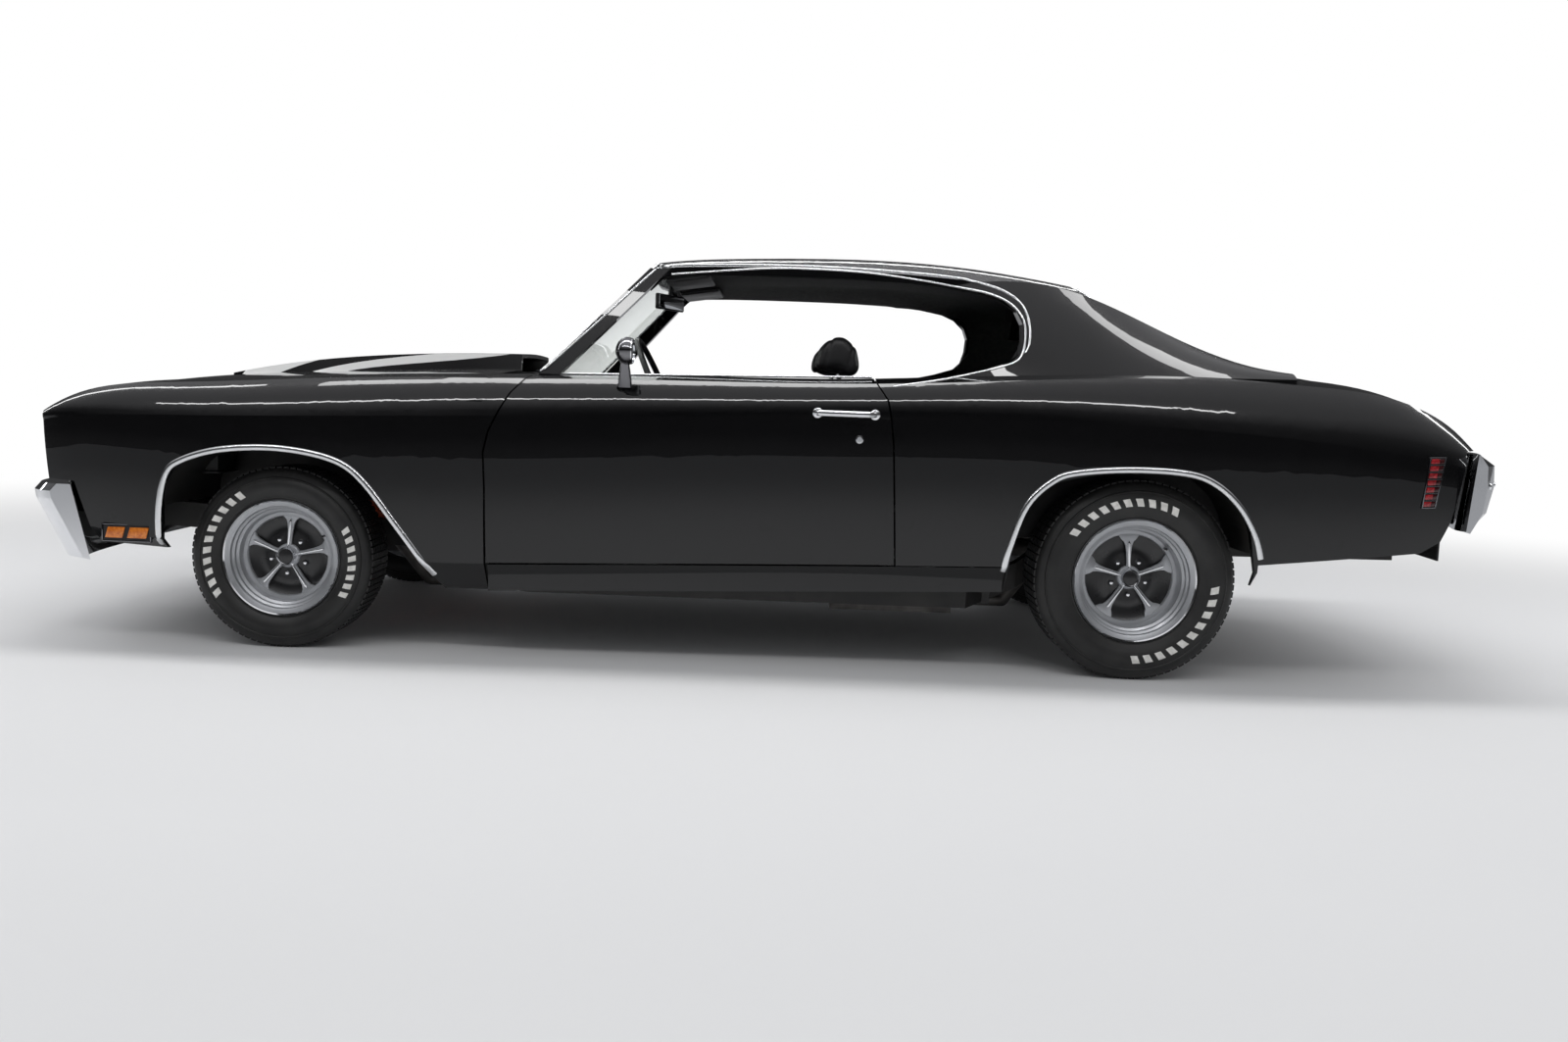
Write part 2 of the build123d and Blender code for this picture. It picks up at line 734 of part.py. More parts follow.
rear_bumper = loft([rear_bumper_profile(-y, *row) for y, *row in reversed(rear_bumper_rows[1:])]
                   + [rear_bumper_profile(*row) for row in rear_bumper_rows])
tail_lamp_y = (470, 770)
tail_lamp_z = (640, 740)
lamp_seat = block(-2540, -2440, tail_lamp_y[0] - seat_gap, tail_lamp_y[1] + seat_gap,
                  tail_lamp_z[0] - seat_gap, tail_lamp_z[1] + seat_gap)
for pocket in (lamp_seat, flip(lamp_seat)):
    rear_bumper -= pocket
save("rear_bumper", rear_bumper)
lens = block(-2520, -2440 - seat_gap, *tail_lamp_y, *tail_lamp_z) & (
    Pos(8, 0, 0) * loft([rear_bumper_profile(*row) for row in rear_bumper_rows]))
save("tail_lamps", Compound([lens, flip(lens)]))

rear_valance = plan_wall(-2300, -2250, 860, 0, 440, 538) - plan_wall(-2292, -2242, 870, 0, 430, 548)
rear_valance = (rear_valance - quarter_left - quarter_right).solids().sort_by(SortBy.VOLUME)[-1]
save("valances", Compound([splash_pan, rear_valance]))

# ---------------------------------------------------------------- frame and floor
hitch_x = -2205.0
hitch_spacing = 300.0
hitch_hole_radius = 6.5
arm_root_y = 422.0
rail_width = 60.0
rail_height = 90.0


def rail(points, width, height):
    """Box rail along (x, y, z) points, one tapered box per run."""
    body = None
    for (x0, y0, z0), (x1, y1, z1) in zip(points, points[1:]):
        faces = []
        for x, y, z in ((x0, y0, z0), (x1, y1, z1)):
            faces.append(make_face(Polyline([(x, y - width / 2, z - height / 2), (x, y + width / 2, z - height / 2),
                                             (x, y + width / 2, z + height / 2), (x, y - width / 2, z + height / 2)],
                                            close=True)))
        piece = loft(faces, ruled=True)
        body = piece if body is None else body + piece
    return body


frame_line = [(2350, 390, 402), (1250, 390, 345), (950, 600, 245), (800, 730, 250), (-700, 730, 250),
              (-900, 540, 300), (-1080, 520, 430), (-1450, 520, 436), (-1750, 520, 440), (-2240, 520, 447)]


def make_frame():
    left = rail(frame_line, rail_width, rail_height)
    frame = left + flip(left)
    # x rear, x front, half width, z low, z high
    for x0, x1, half, z0, z1 in ((1540, 1660, 400, 240, 330), (200, 290, 740, 215, 262), (-790, -720, 700, 215, 290),
                                 (-2230, -2180, 520, 420, 462), (2050, 2120, 390, 365, 440 - seat_gap)):
        frame += block(x0, x1, -half, half, z0, z1)
    for y in (-hitch_spacing / 2, hitch_spacing / 2):
        frame -= rod((hitch_x, y, 400), (hitch_x, y, 480), hitch_hole_radius)
    for side in (-1, 1):
        y0, y1 = sorted((side * 380, side * arm_root_y))
        frame += block(1530, 1670, y0, y1, 176, 330)
        frame += block(1560, 1640, y0, y1, 350, 452)
    frame += block(215, 275, -50, 50, 250, 295 - seat_gap)
    return frame - front_bumper


frame = make_frame()
save("frame", frame)

sheet = 6.0
cowl_top = 900.0
cowl_thickness = 30.0
fender_bracket_heights = (395.0, 842.0)
house_inner_y = 596.0
tunnel_half = 150.0


def make_floor():
    z = cabin_floor_height
    low_line = [(930, z), (-400, z), (-450, 455), (-860, 490), (-1500, 500), (-2300, 500)]
    top = low_line + [(x, h + sheet) for x, h in reversed(low_line)]
    floor = side_prism(top, -799.7, 799.7)
    floor &= plan_wall(-2292 + seat_gap, -2242 + seat_gap, 810, 2000, 200, 1000)
    floor -= block(-2320, -1700, 775, 900, 200, 700) + block(-2320, -1700, -900, -775, 200, 700)
    for side in (-1, 1):
        y0, y1 = sorted((side * (house_inner_y - seat_gap), side * 900))
        floor -= block(rear_axle_x - 410, rear_axle_x + 474, y0, y1, 200, 700)
        y0, y1 = sorted((side * 787, side * 900))
        floor -= block(rear_axle_x + 460, -425, y0, y1, 310, 700)
    tunnel = block(-440, 930, -tunnel_half, tunnel_half, z, z + 160)
    inner = block(-470, 940, -tunnel_half + sheet, tunnel_half - sheet, z - 20, z + 160 - sheet)
    floor = floor + tunnel - inner
    wall = block(930, 940, -698, 698, z, cowl_top - cowl_thickness - seat_gap)
    wall -= block(925, 945, -tunnel_half + sheet, tunnel_half - sheet, z - 20, z + 160 - sheet)
    for y in (230, 570, -230, -570):
        floor += block(-90, 280, y - 18, y + 18, z, 380 - seat_gap)
    return floor + wall


floor = make_floor()
save("floor_pan", floor)


def make_cowl():
    mid_x, side_x, half = windshield_low[1:]
    under_glass = plan_wall(mid_x - 22, side_x - 22, half, -600)
    top = block(620, hood_rear_x - shut_gap, -745, 745, cowl_top - cowl_thickness, cowl_top) - under_glass
    bed = plan_wall(mid_x, side_x, half, -600, cowl_top - 10, windshield_low[0] - seat_gap) - under_glass
    post = side_prism([(980, 320), (980, 880), (860, 880), (880, 860), (905, 750), (926, 690), (922, 320)], 700, 760)
    pillar_foot = block(700, 770, 708, 768, cowl_top - cowl_thickness, 948 - seat_gap)
    ear_y = hood_hinge_y + 8
    ear = block(hood_hinge_x - 30, hood_hinge_x + 10, ear_y, ear_y + 10, cowl_top - 20, cowl_top)
    ear += block(hood_hinge_x - 7, hood_hinge_x + 8, ear_y, ear_y + 10, cowl_top - 10, hood_hinge_z + 6)
    hole_start = (hood_hinge_x, ear_y - 10, hood_hinge_z)
    hole_end = (hood_hinge_x, ear_y + 20, hood_hinge_z)
    ear -= rod(hole_start, hole_end, hinge_pin + pin_gap)
    side = post + pillar_foot + ear
    # brackets that the rear edge of the fender bolts to
    for z in fender_bracket_heights:
        side += block(925, 975, 745, 915, z, z + 10)
    for z in hinge_heights:
        side += block(905, 960, 740, 840, z + hinge_leaf + seat_gap, z + 2 * hinge_leaf + seat_gap)
    return top + bed + side + flip(side) - fender_left - fender_right


cowl = make_cowl()
save("cowl", cowl)

# ---------------------------------------------------------------- wheelhouses
def wheelhouse(opening, y_in, y_out, z_cut, panel):
    """Liner that follows the wheel opening, closed on its inner side."""
    room, wall = 12.0, 5.0
    outline = opening_face(opening)
    outer = Pos(0, y_in, 0) * extrude(offset(outline, amount=room + wall), amount=y_out - y_in, dir=(0, 1, 0))
    inner = Pos(0, y_in + wall, 0) * extrude(offset(outline, amount=room), amount=y_out, dir=(0, 1, 0))
    house = (outer - inner) & block(-2500, 2500, 300, 1000, z_cut, 1000)
    return (house - panel).solids().sort_by(SortBy.VOLUME)[-1]


front_house = wheelhouse(front_opening, 450, 917, 470, fender_left)
rear_house = wheelhouse(rear_opening, house_inner_y, 917, 440, quarter_left)
save("wheelhouses", Compound([front_house, flip(front_house), rear_house, flip(rear_house)]))

# ---------------------------------------------------------------- cabin
dash = side_prism([(840, 935), (840, 780), (660, 740), (575, 840), (560, 915), (620, 946), (730, 942)], -703, 703)
dash &= plan_wall(windshield_low[1] - 22.3, windshield_low[2] - 22.3, windshield_low[3], -600)
save("dashboard", dash)
wheel_centre = (405.0, 360.0, 912.0)
wheel_tilt = 25.0


def make_steering_wheel():
    ring_r, grip = 188.0, 11.0
    corners = [math.radians(45 * i + 22.5) for i in range(8)]
    ring = revolve(make_face(Polyline([(ring_r + grip * math.cos(a), 0, grip * math.sin(a)) for a in corners],
                                      close=True)), axis=Axis.Z)
    hub = Cylinder(45, 34)
    wheel = ring + hub
    for angle in (0, 120, 240):
        wheel += Rot(0, 0, angle) * (Pos(94, 0, 0) * Box(180, 30, 6))
    return Pos(*wheel_centre) * (Rot(0, -(90 - wheel_tilt), 0) * wheel)


column = rod((420, 360, 905), (700, 360, 790), 28)
save("steering", make_steering_wheel() + (column - dash).solids().sort_by(SortBy.VOLUME)[-1])


def make_bucket(y):
    cushion = side_prism([(-130, 380), (-150, 520), (-60, 545), (340, 575), (400, 540), (400, 400), (300, 380)],
                         y - 240, y + 240)
    back = side_prism([(-60, 546), (-190, 546), (-330, 900), (-320, 965), (-235, 975), (-170, 900)], y - 235, y + 235)
    rest = side_prism([(-150, 990), (-190, 1110), (-230, 1132), (-290, 1120), (-305, 1050), (-270, 985)],
                      y - 140, y + 140)
    post = rod((-255, y - 50, 960), (-245, y - 50, 1000), 7) + rod((-255, y + 50, 960), (-245, y + 50, 1000), 7)
    return cushion + (back + rest + post)


seat_left = make_bucket(400)
save("bucket_seats", Compound([seat_left, flip(seat_left)]))
rear_cushion = side_prism([(-470, 463), (-860, 497), (-930, 560), (-480, 600), (-425, 560), (-430, 470)], -560, 560)
rear_back_line = [(-932, 568), (-1060, 590), (-1175.7, 930), (-1080, 950), (-1010, 900), (-870, 570)]
rear_back = side_prism(rear_back_line, -560, 560)
save("rear_seat", Compound([rear_cushion, rear_back]))
shelf = block(-1500, -1176, -555, 555, 950, 956) + block(-1182, -1176, -590, 590, 502, 956)
for side in (-1, 1):
    y0, y1 = sorted((side * 550, side * 567))
    shelf += block(lid_hinge_x - 18, lid_hinge_x + 18, y0, y1, 952, lid_hinge_z + 12)
shelf -= rod((lid_hinge_x, -600, lid_hinge_z), (lid_hinge_x, 600, lid_hinge_z), hinge_pin + pin_gap)
save("parcel_shelf", shelf)
tunnel_top = cabin_floor_height + 160 + seat_gap
console_line = [(560, tunnel_top), (560, 560), (300, 560), (-60, 540), (-80, tunnel_top)]
save("console", side_prism(console_line, -105, 105))
mirror_stalk = (rod((410, 0, 1245), (404, 0, 1350), 8) - roof).solids().sort_by(SortBy.VOLUME)[-1]
save("inside_mirror", block(398, 414, -120, 120, 1215, 1275) + mirror_stalk)

# ---------------------------------------------------------------- engine and running gear
save("engine", block(1060, 1700, -270, 270, 330 + seat_gap, 850))
save("radiator", block(2060, 2110, -340, 340, 440, 850))
gearbox = rod((1059.7, 0, 400), (420, 0, 360), 110) & block(420, 1059.7, -140, 140, 252, 445)
gearbox += rod((430, 0, 355), (190, 0, 355), 60)
shaft = rod((420, 0, 355), (rear_axle_x + 114.5, 0, rear_tyre_radius), 36)
axle_tube = rod((rear_axle_x, -690, rear_tyre_radius), (rear_axle_x, 690, rear_tyre_radius), 38)
diff = Pos(rear_axle_x, 0, rear_tyre_radius) * Sphere(128)
spindle = 18.0
axle_shaft = rod((rear_axle_x, -760, rear_tyre_radius), (rear_axle_x, 760, rear_tyre_radius), spindle)
rear_axle = axle_tube + diff + axle_shaft
for side in (-1, 1):
    rear_axle += Pos(rear_axle_x, side * 520, 378) * Cylinder(40, 19)
rear_axle -= frame
save("rear_axle", rear_axle)
save("gearbox_and_shaft", gearbox + (shaft - rear_axle))
save("fuel_tank", block(-2160, -1720, -400, 400, 402, 500 - seat_gap))


def make_exhaust():
    axle = rear_axle_x
    route = [(1400, 295.3, 450), (1400, 295.3, 345), (1250, 300, 170), (axle + 344, 300, 170),
             (axle + 164, 300, 414), (axle - 176, 300, 414), (axle - 416, 445, 424), (-2150, 445, 430)]
    pipe = block(-700, -250, 210, 390, 125, 213)
    for start, end in zip(route, route[1:]):
        pipe += rod(start, end, 25) + Pos(*end) * Sphere(25)
    return pipe - block(-2400, -2150, 400, 490, 300, 500)


exhaust = make_exhaust()
save("exhaust", Compound([exhaust, flip(exhaust)]))

# ---------------------------------------------------------------- knuckles and wheels
pivot_y = 664.0
pivot_lean = 8.0
hub_face_front = front_track / 2


def pivot_point(height):
    """Point of the steering axis at a height above the hub."""
    return (front_axle_x, pivot_y - height * math.tan(math.radians(pivot_lean)), front_tyre_radius + height)


def make_knuckle():
    low, high = pivot_point(-95), pivot_point(115)
    upright = rod(low, high, 20)
    stub = rod((front_axle_x, 660, front_tyre_radius), (front_axle_x, hub_face_front, front_tyre_radius), spindle)
    plate = Pos(front_axle_x, 690, front_tyre_radius) * (Rot(90, 0, 0) * Cylinder(60, 16))
    return upright + stub + plate


knuckle_left = make_knuckle()
save("knuckle_left", knuckle_left)
save("knuckle_right", flip(knuckle_left))


def make_arms():
    low, high = pivot_point(-95), pivot_point(115)
    seat = 3.4
    root = arm_root_y + seat_gap
    x = front_axle_x
    tip = 20.5
    low_plan = [(x - tip, 650), (x - tip, 694), (x + tip, 694), (x + tip, 650), (x + 140, root), (x - 140, root)]
    high_plan = [(x - tip, 630), (x - tip, 670), (x + tip, 670), (x + tip, 630), (x + 90, root), (x - 90, root)]
    low_arm = Pos(0, 0, low[2] - seat - 22) * plan_prism(low_plan, 0, 22)
    high_arm = Pos(0, 0, high[2] + seat) * plan_prism(high_plan, 0, 18)
    return low_arm, high_arm


low_arm, high_arm = make_arms()
save("front_arms", Compound([low_arm, high_arm, flip(low_arm), flip(high_arm)]))


def tyre_profile(radius, width, rim_radius, rim_width):
    """Hollow tyre: tread, bulged sidewalls and beads, open on the inside."""
    w = width / 2
    bead = rim_width / 2 - 12
    bore = rim_radius + seat_gap
    middle = (bore + radius) / 2
    outer = [(bore, bead), (bore + 20, bead + 16), (middle, w), (radius - 14, w - 12), (radius, w - 42)]
    inner = [(bore, -bead + 14), (radius - 18, -w + 34), (radius - 18, w - 34), (bore, bead - 14)]
    return outer + [(r, -y) for r, y in reversed(outer)] + inner


def wheel_at(profile, y_mid, x, z):
    return turned([(r, y + y_mid) for r, y in profile], (x, 0, z))


def rim_profile(rim_radius, rim_width):
    """Drop-centre rim barrel, y measured from the wheel's middle plane, outboard positive."""
    h = rim_width / 2
    r = rim_radius
    lip = r + rim_lip
    outer_side = [(lip, h + 8), (lip - 5, h + 12), (r - 4, h + 2), (r - 26, h - 50)]
    inner_side = [(r - 26, -h + 30), (r - 8, -h), (lip - 5, -h - 10), (lip, -h - 8)]
    tyre_side = [(r, -h - 2), (r, -h + 14), (r - 20, -h + 36), (r - 20, h - 56), (r, h - 18), (r, h + 2)]
    return outer_side + inner_side + tyre_side


def spoke_bar(foot_half, tip_half, height):
    """Tapered bar from the hub out to the ring of the wheel's face."""
    outline = [(-foot_half, 0, 40), (foot_half, 0, 40), (tip_half, 0, 140), (-tip_half, 0, 140)]
    return extrude(make_face(Polyline(outline, close=True)), amount=height, dir=(0, 1, 0))


def make_wheel(rim_radius, rim_width, track, x, z, dish, bore):
    y_mid = track / 2
    centre = (x, 0, z)
    barrel = wheel_at(rim_profile(rim_radius, rim_width), y_mid, x, z)
    face_y = y_mid + rim_width / 2 - dish
    ring_r = rim_radius - 22
    ring = turned([(ring_r, face_y - 14), (ring_r, face_y + 4), (138, face_y + 4), (134, face_y - 14)], centre)
    hub = turned([(0, face_y - 30), (74, face_y - 30), (74, face_y - 6), (46, face_y + 8), (0, face_y + 8)], centre)
    cap = turned([(0, face_y + 6), (30, face_y + 6), (30, face_y + 26), (24, face_y + 30), (0, face_y + 30)], centre)
    spoke = spoke_bar(17, 13, 14) + spoke_bar(6, 4, 22)
    wheel = barrel + ring + hub + cap
    for i in range(spoke_count):
        wheel += Pos(x, face_y - 12, z) * (Rot(0, 360 / spoke_count * i, 0) * spoke)
    drum = turned([(0, y_mid - 52), (120, y_mid - 52), (124, y_mid - 44), (124, y_mid + 14), (0, y_mid + 14)], centre)
    hub_stem = turned([(0, y_mid + 10), (60, y_mid + 10), (60, face_y - 20), (0, face_y - 20)], centre)
    wheel += drum + hub_stem
    pin = Pos(x, y_mid - 50, z) * (Rot(90, 0, 0) * Cylinder(bore, 140))
    return wheel - pin


bore = spindle + pin_gap
front_wheel = make_wheel(front_rim_radius, front_rim_width, front_track, front_axle_x, front_tyre_radius, 56, bore)
rear_wheel = make_wheel(rear_rim_radius, rear_rim_width, rear_track, rear_axle_x, rear_tyre_radius, 76, bore)
front_tyre = wheel_at(tyre_profile(front_tyre_radius, front_tyre_width, front_rim_radius, front_rim_width),
                      front_track / 2, front_axle_x, front_tyre_radius)
rear_tyre = wheel_at(tyre_profile(rear_tyre_radius, rear_tyre_width, rear_rim_radius, rear_rim_width),
                     rear_track / 2, rear_axle_x, rear_tyre_radius)
for end, wheel, tyre in (("front", front_wheel, front_tyre), ("rear", rear_wheel, rear_tyre)):
    save(f"wheel_{end}_left", wheel)
    save(f"wheel_{end}_right", flip(wheel))
    save(f"tyre_{end}_left", tyre)
    save(f"tyre_{end}_right", flip(tyre))

# ---------------------------------------------------------------- handles and mirror
def make_handle():
    """Pull handle: a bar that stands off the door on its two ends."""
    bar = plan_prism([(-160, 920), (-172, 950), (-198, 957), (-322, 957), (-348, 950), (-360, 920)], 844, 864)
    finger_room = plan_prism([(-192, 900), (-200, 947), (-320, 947), (-328, 900)], 800, 900)
    return Compound([s for s in (bar - finger_room - door_left).solids() if s.bounding_box().max.Y > 940])


def make_door_mirror():
    """Teardrop head on a tapered foot; the glass faces the driver."""
    # x, half width, half height
    stations = [(440, 56, 42), (456, 60, 46), (478, 48, 37), (494, 20, 15)]
    head = loft([Plane(origin=(x, 932, 1030), x_dir=(0, 1, 0), z_dir=(1, 0, 0)) * Ellipse(w, h) for x, w, h in stations])
    # z, front and rear x, inner and outer y
    foot_rows = [(910, 496, 440, 868, 904), (1005, 482, 450, 896, 926)]
    foot = loft([make_face(Polyline([(x0, y0, z), (x0, y1, z), (x1, y1, z), (x1, y0, z)], close=True))
                 for z, x0, x1, y0, y1 in foot_rows], ruled=True)
    return head + (foot - door_left).solids().sort_by(SortBy.VOLUME)[-1]


handle = make_handle()
save("door_fittings_left", Compound(list(handle.solids()) + list(make_door_mirror().solids())))
save("door_handle_right", flip(handle))
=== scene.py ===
import math

import bpy
from mathutils import Matrix, Vector
from mathutils.bvhtree import BVHTree


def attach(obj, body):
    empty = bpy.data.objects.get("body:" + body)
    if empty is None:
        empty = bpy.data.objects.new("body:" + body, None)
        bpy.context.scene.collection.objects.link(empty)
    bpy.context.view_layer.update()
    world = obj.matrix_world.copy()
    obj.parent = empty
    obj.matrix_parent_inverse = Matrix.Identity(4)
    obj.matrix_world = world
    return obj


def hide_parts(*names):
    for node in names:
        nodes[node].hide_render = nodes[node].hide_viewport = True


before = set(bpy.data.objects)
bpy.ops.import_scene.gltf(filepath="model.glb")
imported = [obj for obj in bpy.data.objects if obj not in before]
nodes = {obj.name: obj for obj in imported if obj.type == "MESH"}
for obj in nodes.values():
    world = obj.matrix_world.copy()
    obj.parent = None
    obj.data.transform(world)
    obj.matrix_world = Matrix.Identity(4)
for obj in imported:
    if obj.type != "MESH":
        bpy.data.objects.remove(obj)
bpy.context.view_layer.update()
scene = bpy.context.scene
scene.view_settings.view_transform = "Standard"
print("frame loaded:", len(nodes), "nodes")


# camera, floor and light

view = {
    "place": (-0.0598, 5.2172, 0.9257),
    "yaw": 0.0023,
    "pitch": 0.0994,
    "roll": -0.038,
    "focal": 1346.0,        # in pixels of the photograph
    "photoWidth": 1600,
    "sensor": 36.0,
    "farthest": 200,
}


def makeCamera():
    cy, sy = math.cos(view["yaw"]), math.sin(view["yaw"])
    cp, sp = math.cos(view["pitch"]), math.sin(view["pitch"])
    cr, sr = math.cos(view["roll"]), math.sin(view["roll"])
    ahead = Vector((-sy * cp, -cy * cp, -sp))
    right = Vector((-cy, sy, 0))
    down = ahead.cross(right)
    camRight = right * cr + down * sr
    camUp = right * sr - down * cr
    bpy.ops.object.camera_add(location=view["place"])
    camera = bpy.context.object
    camera.name = "photoCamera"
    turn = Matrix((camRight, camUp, -ahead)).transposed()
    camera.rotation_euler = turn.to_euler()
    camera.data.sensor_width = view["sensor"]
    camera.data.lens = view["focal"] * view["sensor"] / view["photoWidth"]
    camera.data.clip_end = view["farthest"]
    scene.camera = camera


# shader node whose inputs are values or other nodes' outputs
def addNode(tree, kind, inputs, **settings):
    node = tree.nodes.new("ShaderNode" + kind)
    for name, value in settings.items():
        setattr(node, name, value)
    for socket, value in inputs.items():
        if isinstance(value, bpy.types.NodeSocket):
            tree.links.new(value, node.inputs[socket])
        else:
            node.inputs[socket].default_value = value
    return node


studio = {
    "floorColor": (0.70, 0.70, 0.705, 1),
    "floorRoughness": 0.7,
    "floorSize": 60,
    "fade": (2.6, 8.0),     # distances from the middle, in metres
    "ambient": 0.5,
    "air": (0.95, 0.97, 1.0, 1),
    "white": (1, 1, 1, 1),
    # height as a share, grey: what paint and chrome mirror, a pale room whose side walls fall off to grey
    "room": ((0.0, 0.16), (0.498, 0.10), (0.52, 0.045), (0.60, 0.03), (0.72, 0.16), (0.82, 0.55), (1.0, 0.8)),
    "roomBlue": 1.03,
    # place, size, watts, aim
    "lamps": (
        ((0.3, 3.4, 3.6), (7.0, 0.16), 55, (0, 0.9, 0.6)),
        ((0.0, 0.2, 4.6), (6.0, 0.9), 120, (0, 0, 0.6)),
        ((0.0, -3.6, 3.4), (7.0, 0.12), 22, (0, -0.8, 0.6)),
        ((4.6, 0.0, 3.0), (0.3, 4.0), 40, (1.5, 0, 0.6)),
        ((-4.6, 0.0, 3.0), (0.3, 4.0), 40, (-1.5, 0, 0.6)),
    ),
}


def makeFloor():
    bpy.ops.mesh.primitive_plane_add(size=studio["floorSize"], location=(0, 0, 0))
    floor = bpy.context.object
    floor.name = "studioFloor"
    mat = bpy.data.materials.new("paleFloor")
    mat.use_nodes = True
    tree = mat.node_tree
    shader = tree.nodes["Principled BSDF"]
    shader.inputs["Base Color"].default_value = studio["floorColor"]
    shader.inputs["Roughness"].default_value = studio["floorRoughness"]
    # further out the floor runs into the white of the room
    near, far = studio["fade"]
    spot = addNode(tree, "TexCoord", {})
    reach = addNode(tree, "VectorMath", {0: spot.outputs["Object"]}, operation="LENGTH")
    fade = addNode(tree, "MapRange", {"Value": reach.outputs["Value"], "From Min": near, "From Max": far},
                   interpolation_type="SMOOTHSTEP")
    rays = addNode(tree, "LightPath", {})
    amount = addNode(tree, "Math", {0: fade.outputs[0], 1: rays.outputs["Is Camera Ray"]},
                     operation="MULTIPLY")
    glow = addNode(tree, "Emission", {"Color": studio["white"]})
    blend = addNode(tree, "MixShader", {"Fac": amount.outputs[0], 1: shader.outputs[0], 2: glow.outputs[0]})
    tree.links.new(blend.outputs[0], tree.nodes["Material Output"].inputs["Surface"])
    floor.data.materials.append(mat)


def makeWorld():
    world = bpy.data.worlds.new("studioWorld")
    scene.world = world
    world.use_nodes = True
    tree = world.node_tree
    back = tree.nodes["Background"]
    back.inputs["Color"].default_value = studio["air"]
    back.inputs["Strength"].default_value = studio["ambient"]
    seen = addNode(tree, "Background", {"Color": studio["white"], "Strength": 1.0})
    place = addNode(tree, "TexCoord", {})
    split = addNode(tree, "SeparateXYZ", {0: place.outputs["Generated"]})
    height = addNode(tree, "MapRange", {"Value": split.outputs["Z"], "From Min": -1.0})
    ramp = addNode(tree, "ValToRGB", {"Fac": height.outputs[0]})
    stops = studio["room"]
    while len(ramp.color_ramp.elements) < len(stops):
        ramp.color_ramp.elements.new(0.5)
    for element, (at, grey) in zip(ramp.color_ramp.elements, stops):
        element.position = at
        element.color = (grey, grey, grey * studio["roomBlue"], 1)
    mirrored = addNode(tree, "Background", {"Color": ramp.outputs[0], "Strength": 1.0})
    path = addNode(tree, "LightPath", {})
    lit = addNode(tree, "MixShader", {"Fac": path.outputs["Is Glossy Ray"], 1: back.outputs[0],
                                      2: mirrored.outputs[0]})
    clear = addNode(tree, "Math", {0: path.outputs["Is Camera Ray"], 1: path.outputs["Is Transmission Ray"]},
                    operation="MAXIMUM")
    mix = addNode(tree, "MixShader", {"Fac": clear.outputs[0], 1: lit.outputs[0], 2: seen.outputs[0]})
    tree.links.new(mix.outputs[0], tree.nodes["World Output"].inputs["Surface"])


def makeLamps():
    for place, size, power, aim in studio["lamps"]:
        bpy.ops.object.light_add(type="AREA", location=place)
        lamp = bpy.context.object
        lamp.data.shape = "RECTANGLE"
        lamp.data.size, lamp.data.size_y = size
        lamp.data.energy = power
        lamp.rotation_euler = (Vector(aim) - Vector(place)).to_track_quat("-Z", "Y").to_euler()


makeCamera()
makeFloor()
makeWorld()
makeLamps()
print("camera and studio made")


# finishes

def noiseOf(mat, scale, detail=3.0, kind="Noise"):
    place = addNode(mat.node_tree, "TexCoord", {})
    inputs = {"Scale": scale, "Vector": place.outputs["Object"]}
    if kind == "Noise":
        inputs["Detail"] = detail
    return addNode(mat.node_tree, "Tex" + kind, inputs)


def addGrain(mat, scale, depth, kind="Noise"):
    tree = mat.node_tree
    grain = noiseOf(mat, scale, kind=kind)
    height = grain.outputs["Distance"] if kind == "Voronoi" else grain.outputs[0]
    bump = addNode(tree, "Bump", {"Strength": 1.0, "Distance": depth, "Height": height})
    tree.links.new(bump.outputs[0], tree.nodes["Principled BSDF"].inputs["Normal"])


def addSpread(mat, scale, low, high):
    tree = mat.node_tree
    grain = noiseOf(mat, scale)
    ramp = addNode(tree, "MapRange", {"Value": grain.outputs[0], "From Min": 0.3, "From Max": 0.7,
                                      "To Min": low, "To Max": high})
    tree.links.new(ramp.outputs[0], tree.nodes["Principled BSDF"].inputs["Roughness"])


def addMottle(mat, scale, dark, light):
    tree = mat.node_tree
    ramp = addNode(tree, "ValToRGB", {"Fac": noiseOf(mat, scale, 5.0).outputs[0]})
    for element, at, color in zip(ramp.color_ramp.elements, (0.35, 0.68), (dark, light)):
        element.position = at
        element.color = (*color, 1)
    tree.links.new(ramp.outputs[0], tree.nodes["Principled BSDF"].inputs["Base Color"])


# coat: weight and roughness; spread: scale, low and high roughness; mottle: scale, dark and light colour;
# grain: scale and depth; hide: the same for the cells of a skin or a moulded lens
def newMaterial(name, color, roughness, metallic=0.0, coat=(0.0, 0.03), spread=None, mottle=None, grain=None,
                hide=None):
    mat = bpy.data.materials.new(name)
    mat.use_nodes = True
    shader = mat.node_tree.nodes["Principled BSDF"]
    shader.inputs["Base Color"].default_value = (*color, 1)
    shader.inputs["Roughness"].default_value = roughness
    shader.inputs["Metallic"].default_value = metallic
    shader.inputs["Coat Weight"].default_value = coat[0]
    shader.inputs["Coat Roughness"].default_value = coat[1]
    if spread:
        addSpread(mat, *spread)
    if mottle:
        addMottle(mat, *mottle)
    if grain:
        addGrain(mat, *grain)
    if hide:
        addGrain(mat, *hide, "Voronoi")
    return mat


paint = {
    "black": (0.0022, 0.0022, 0.0026),
    "roughness": 0.25,
    "coat": (1.0, 0.012),
    "spread": (9, 0.18, 0.28),
    "grain": (260, 0.000012),
    "specular": 0.05,
}


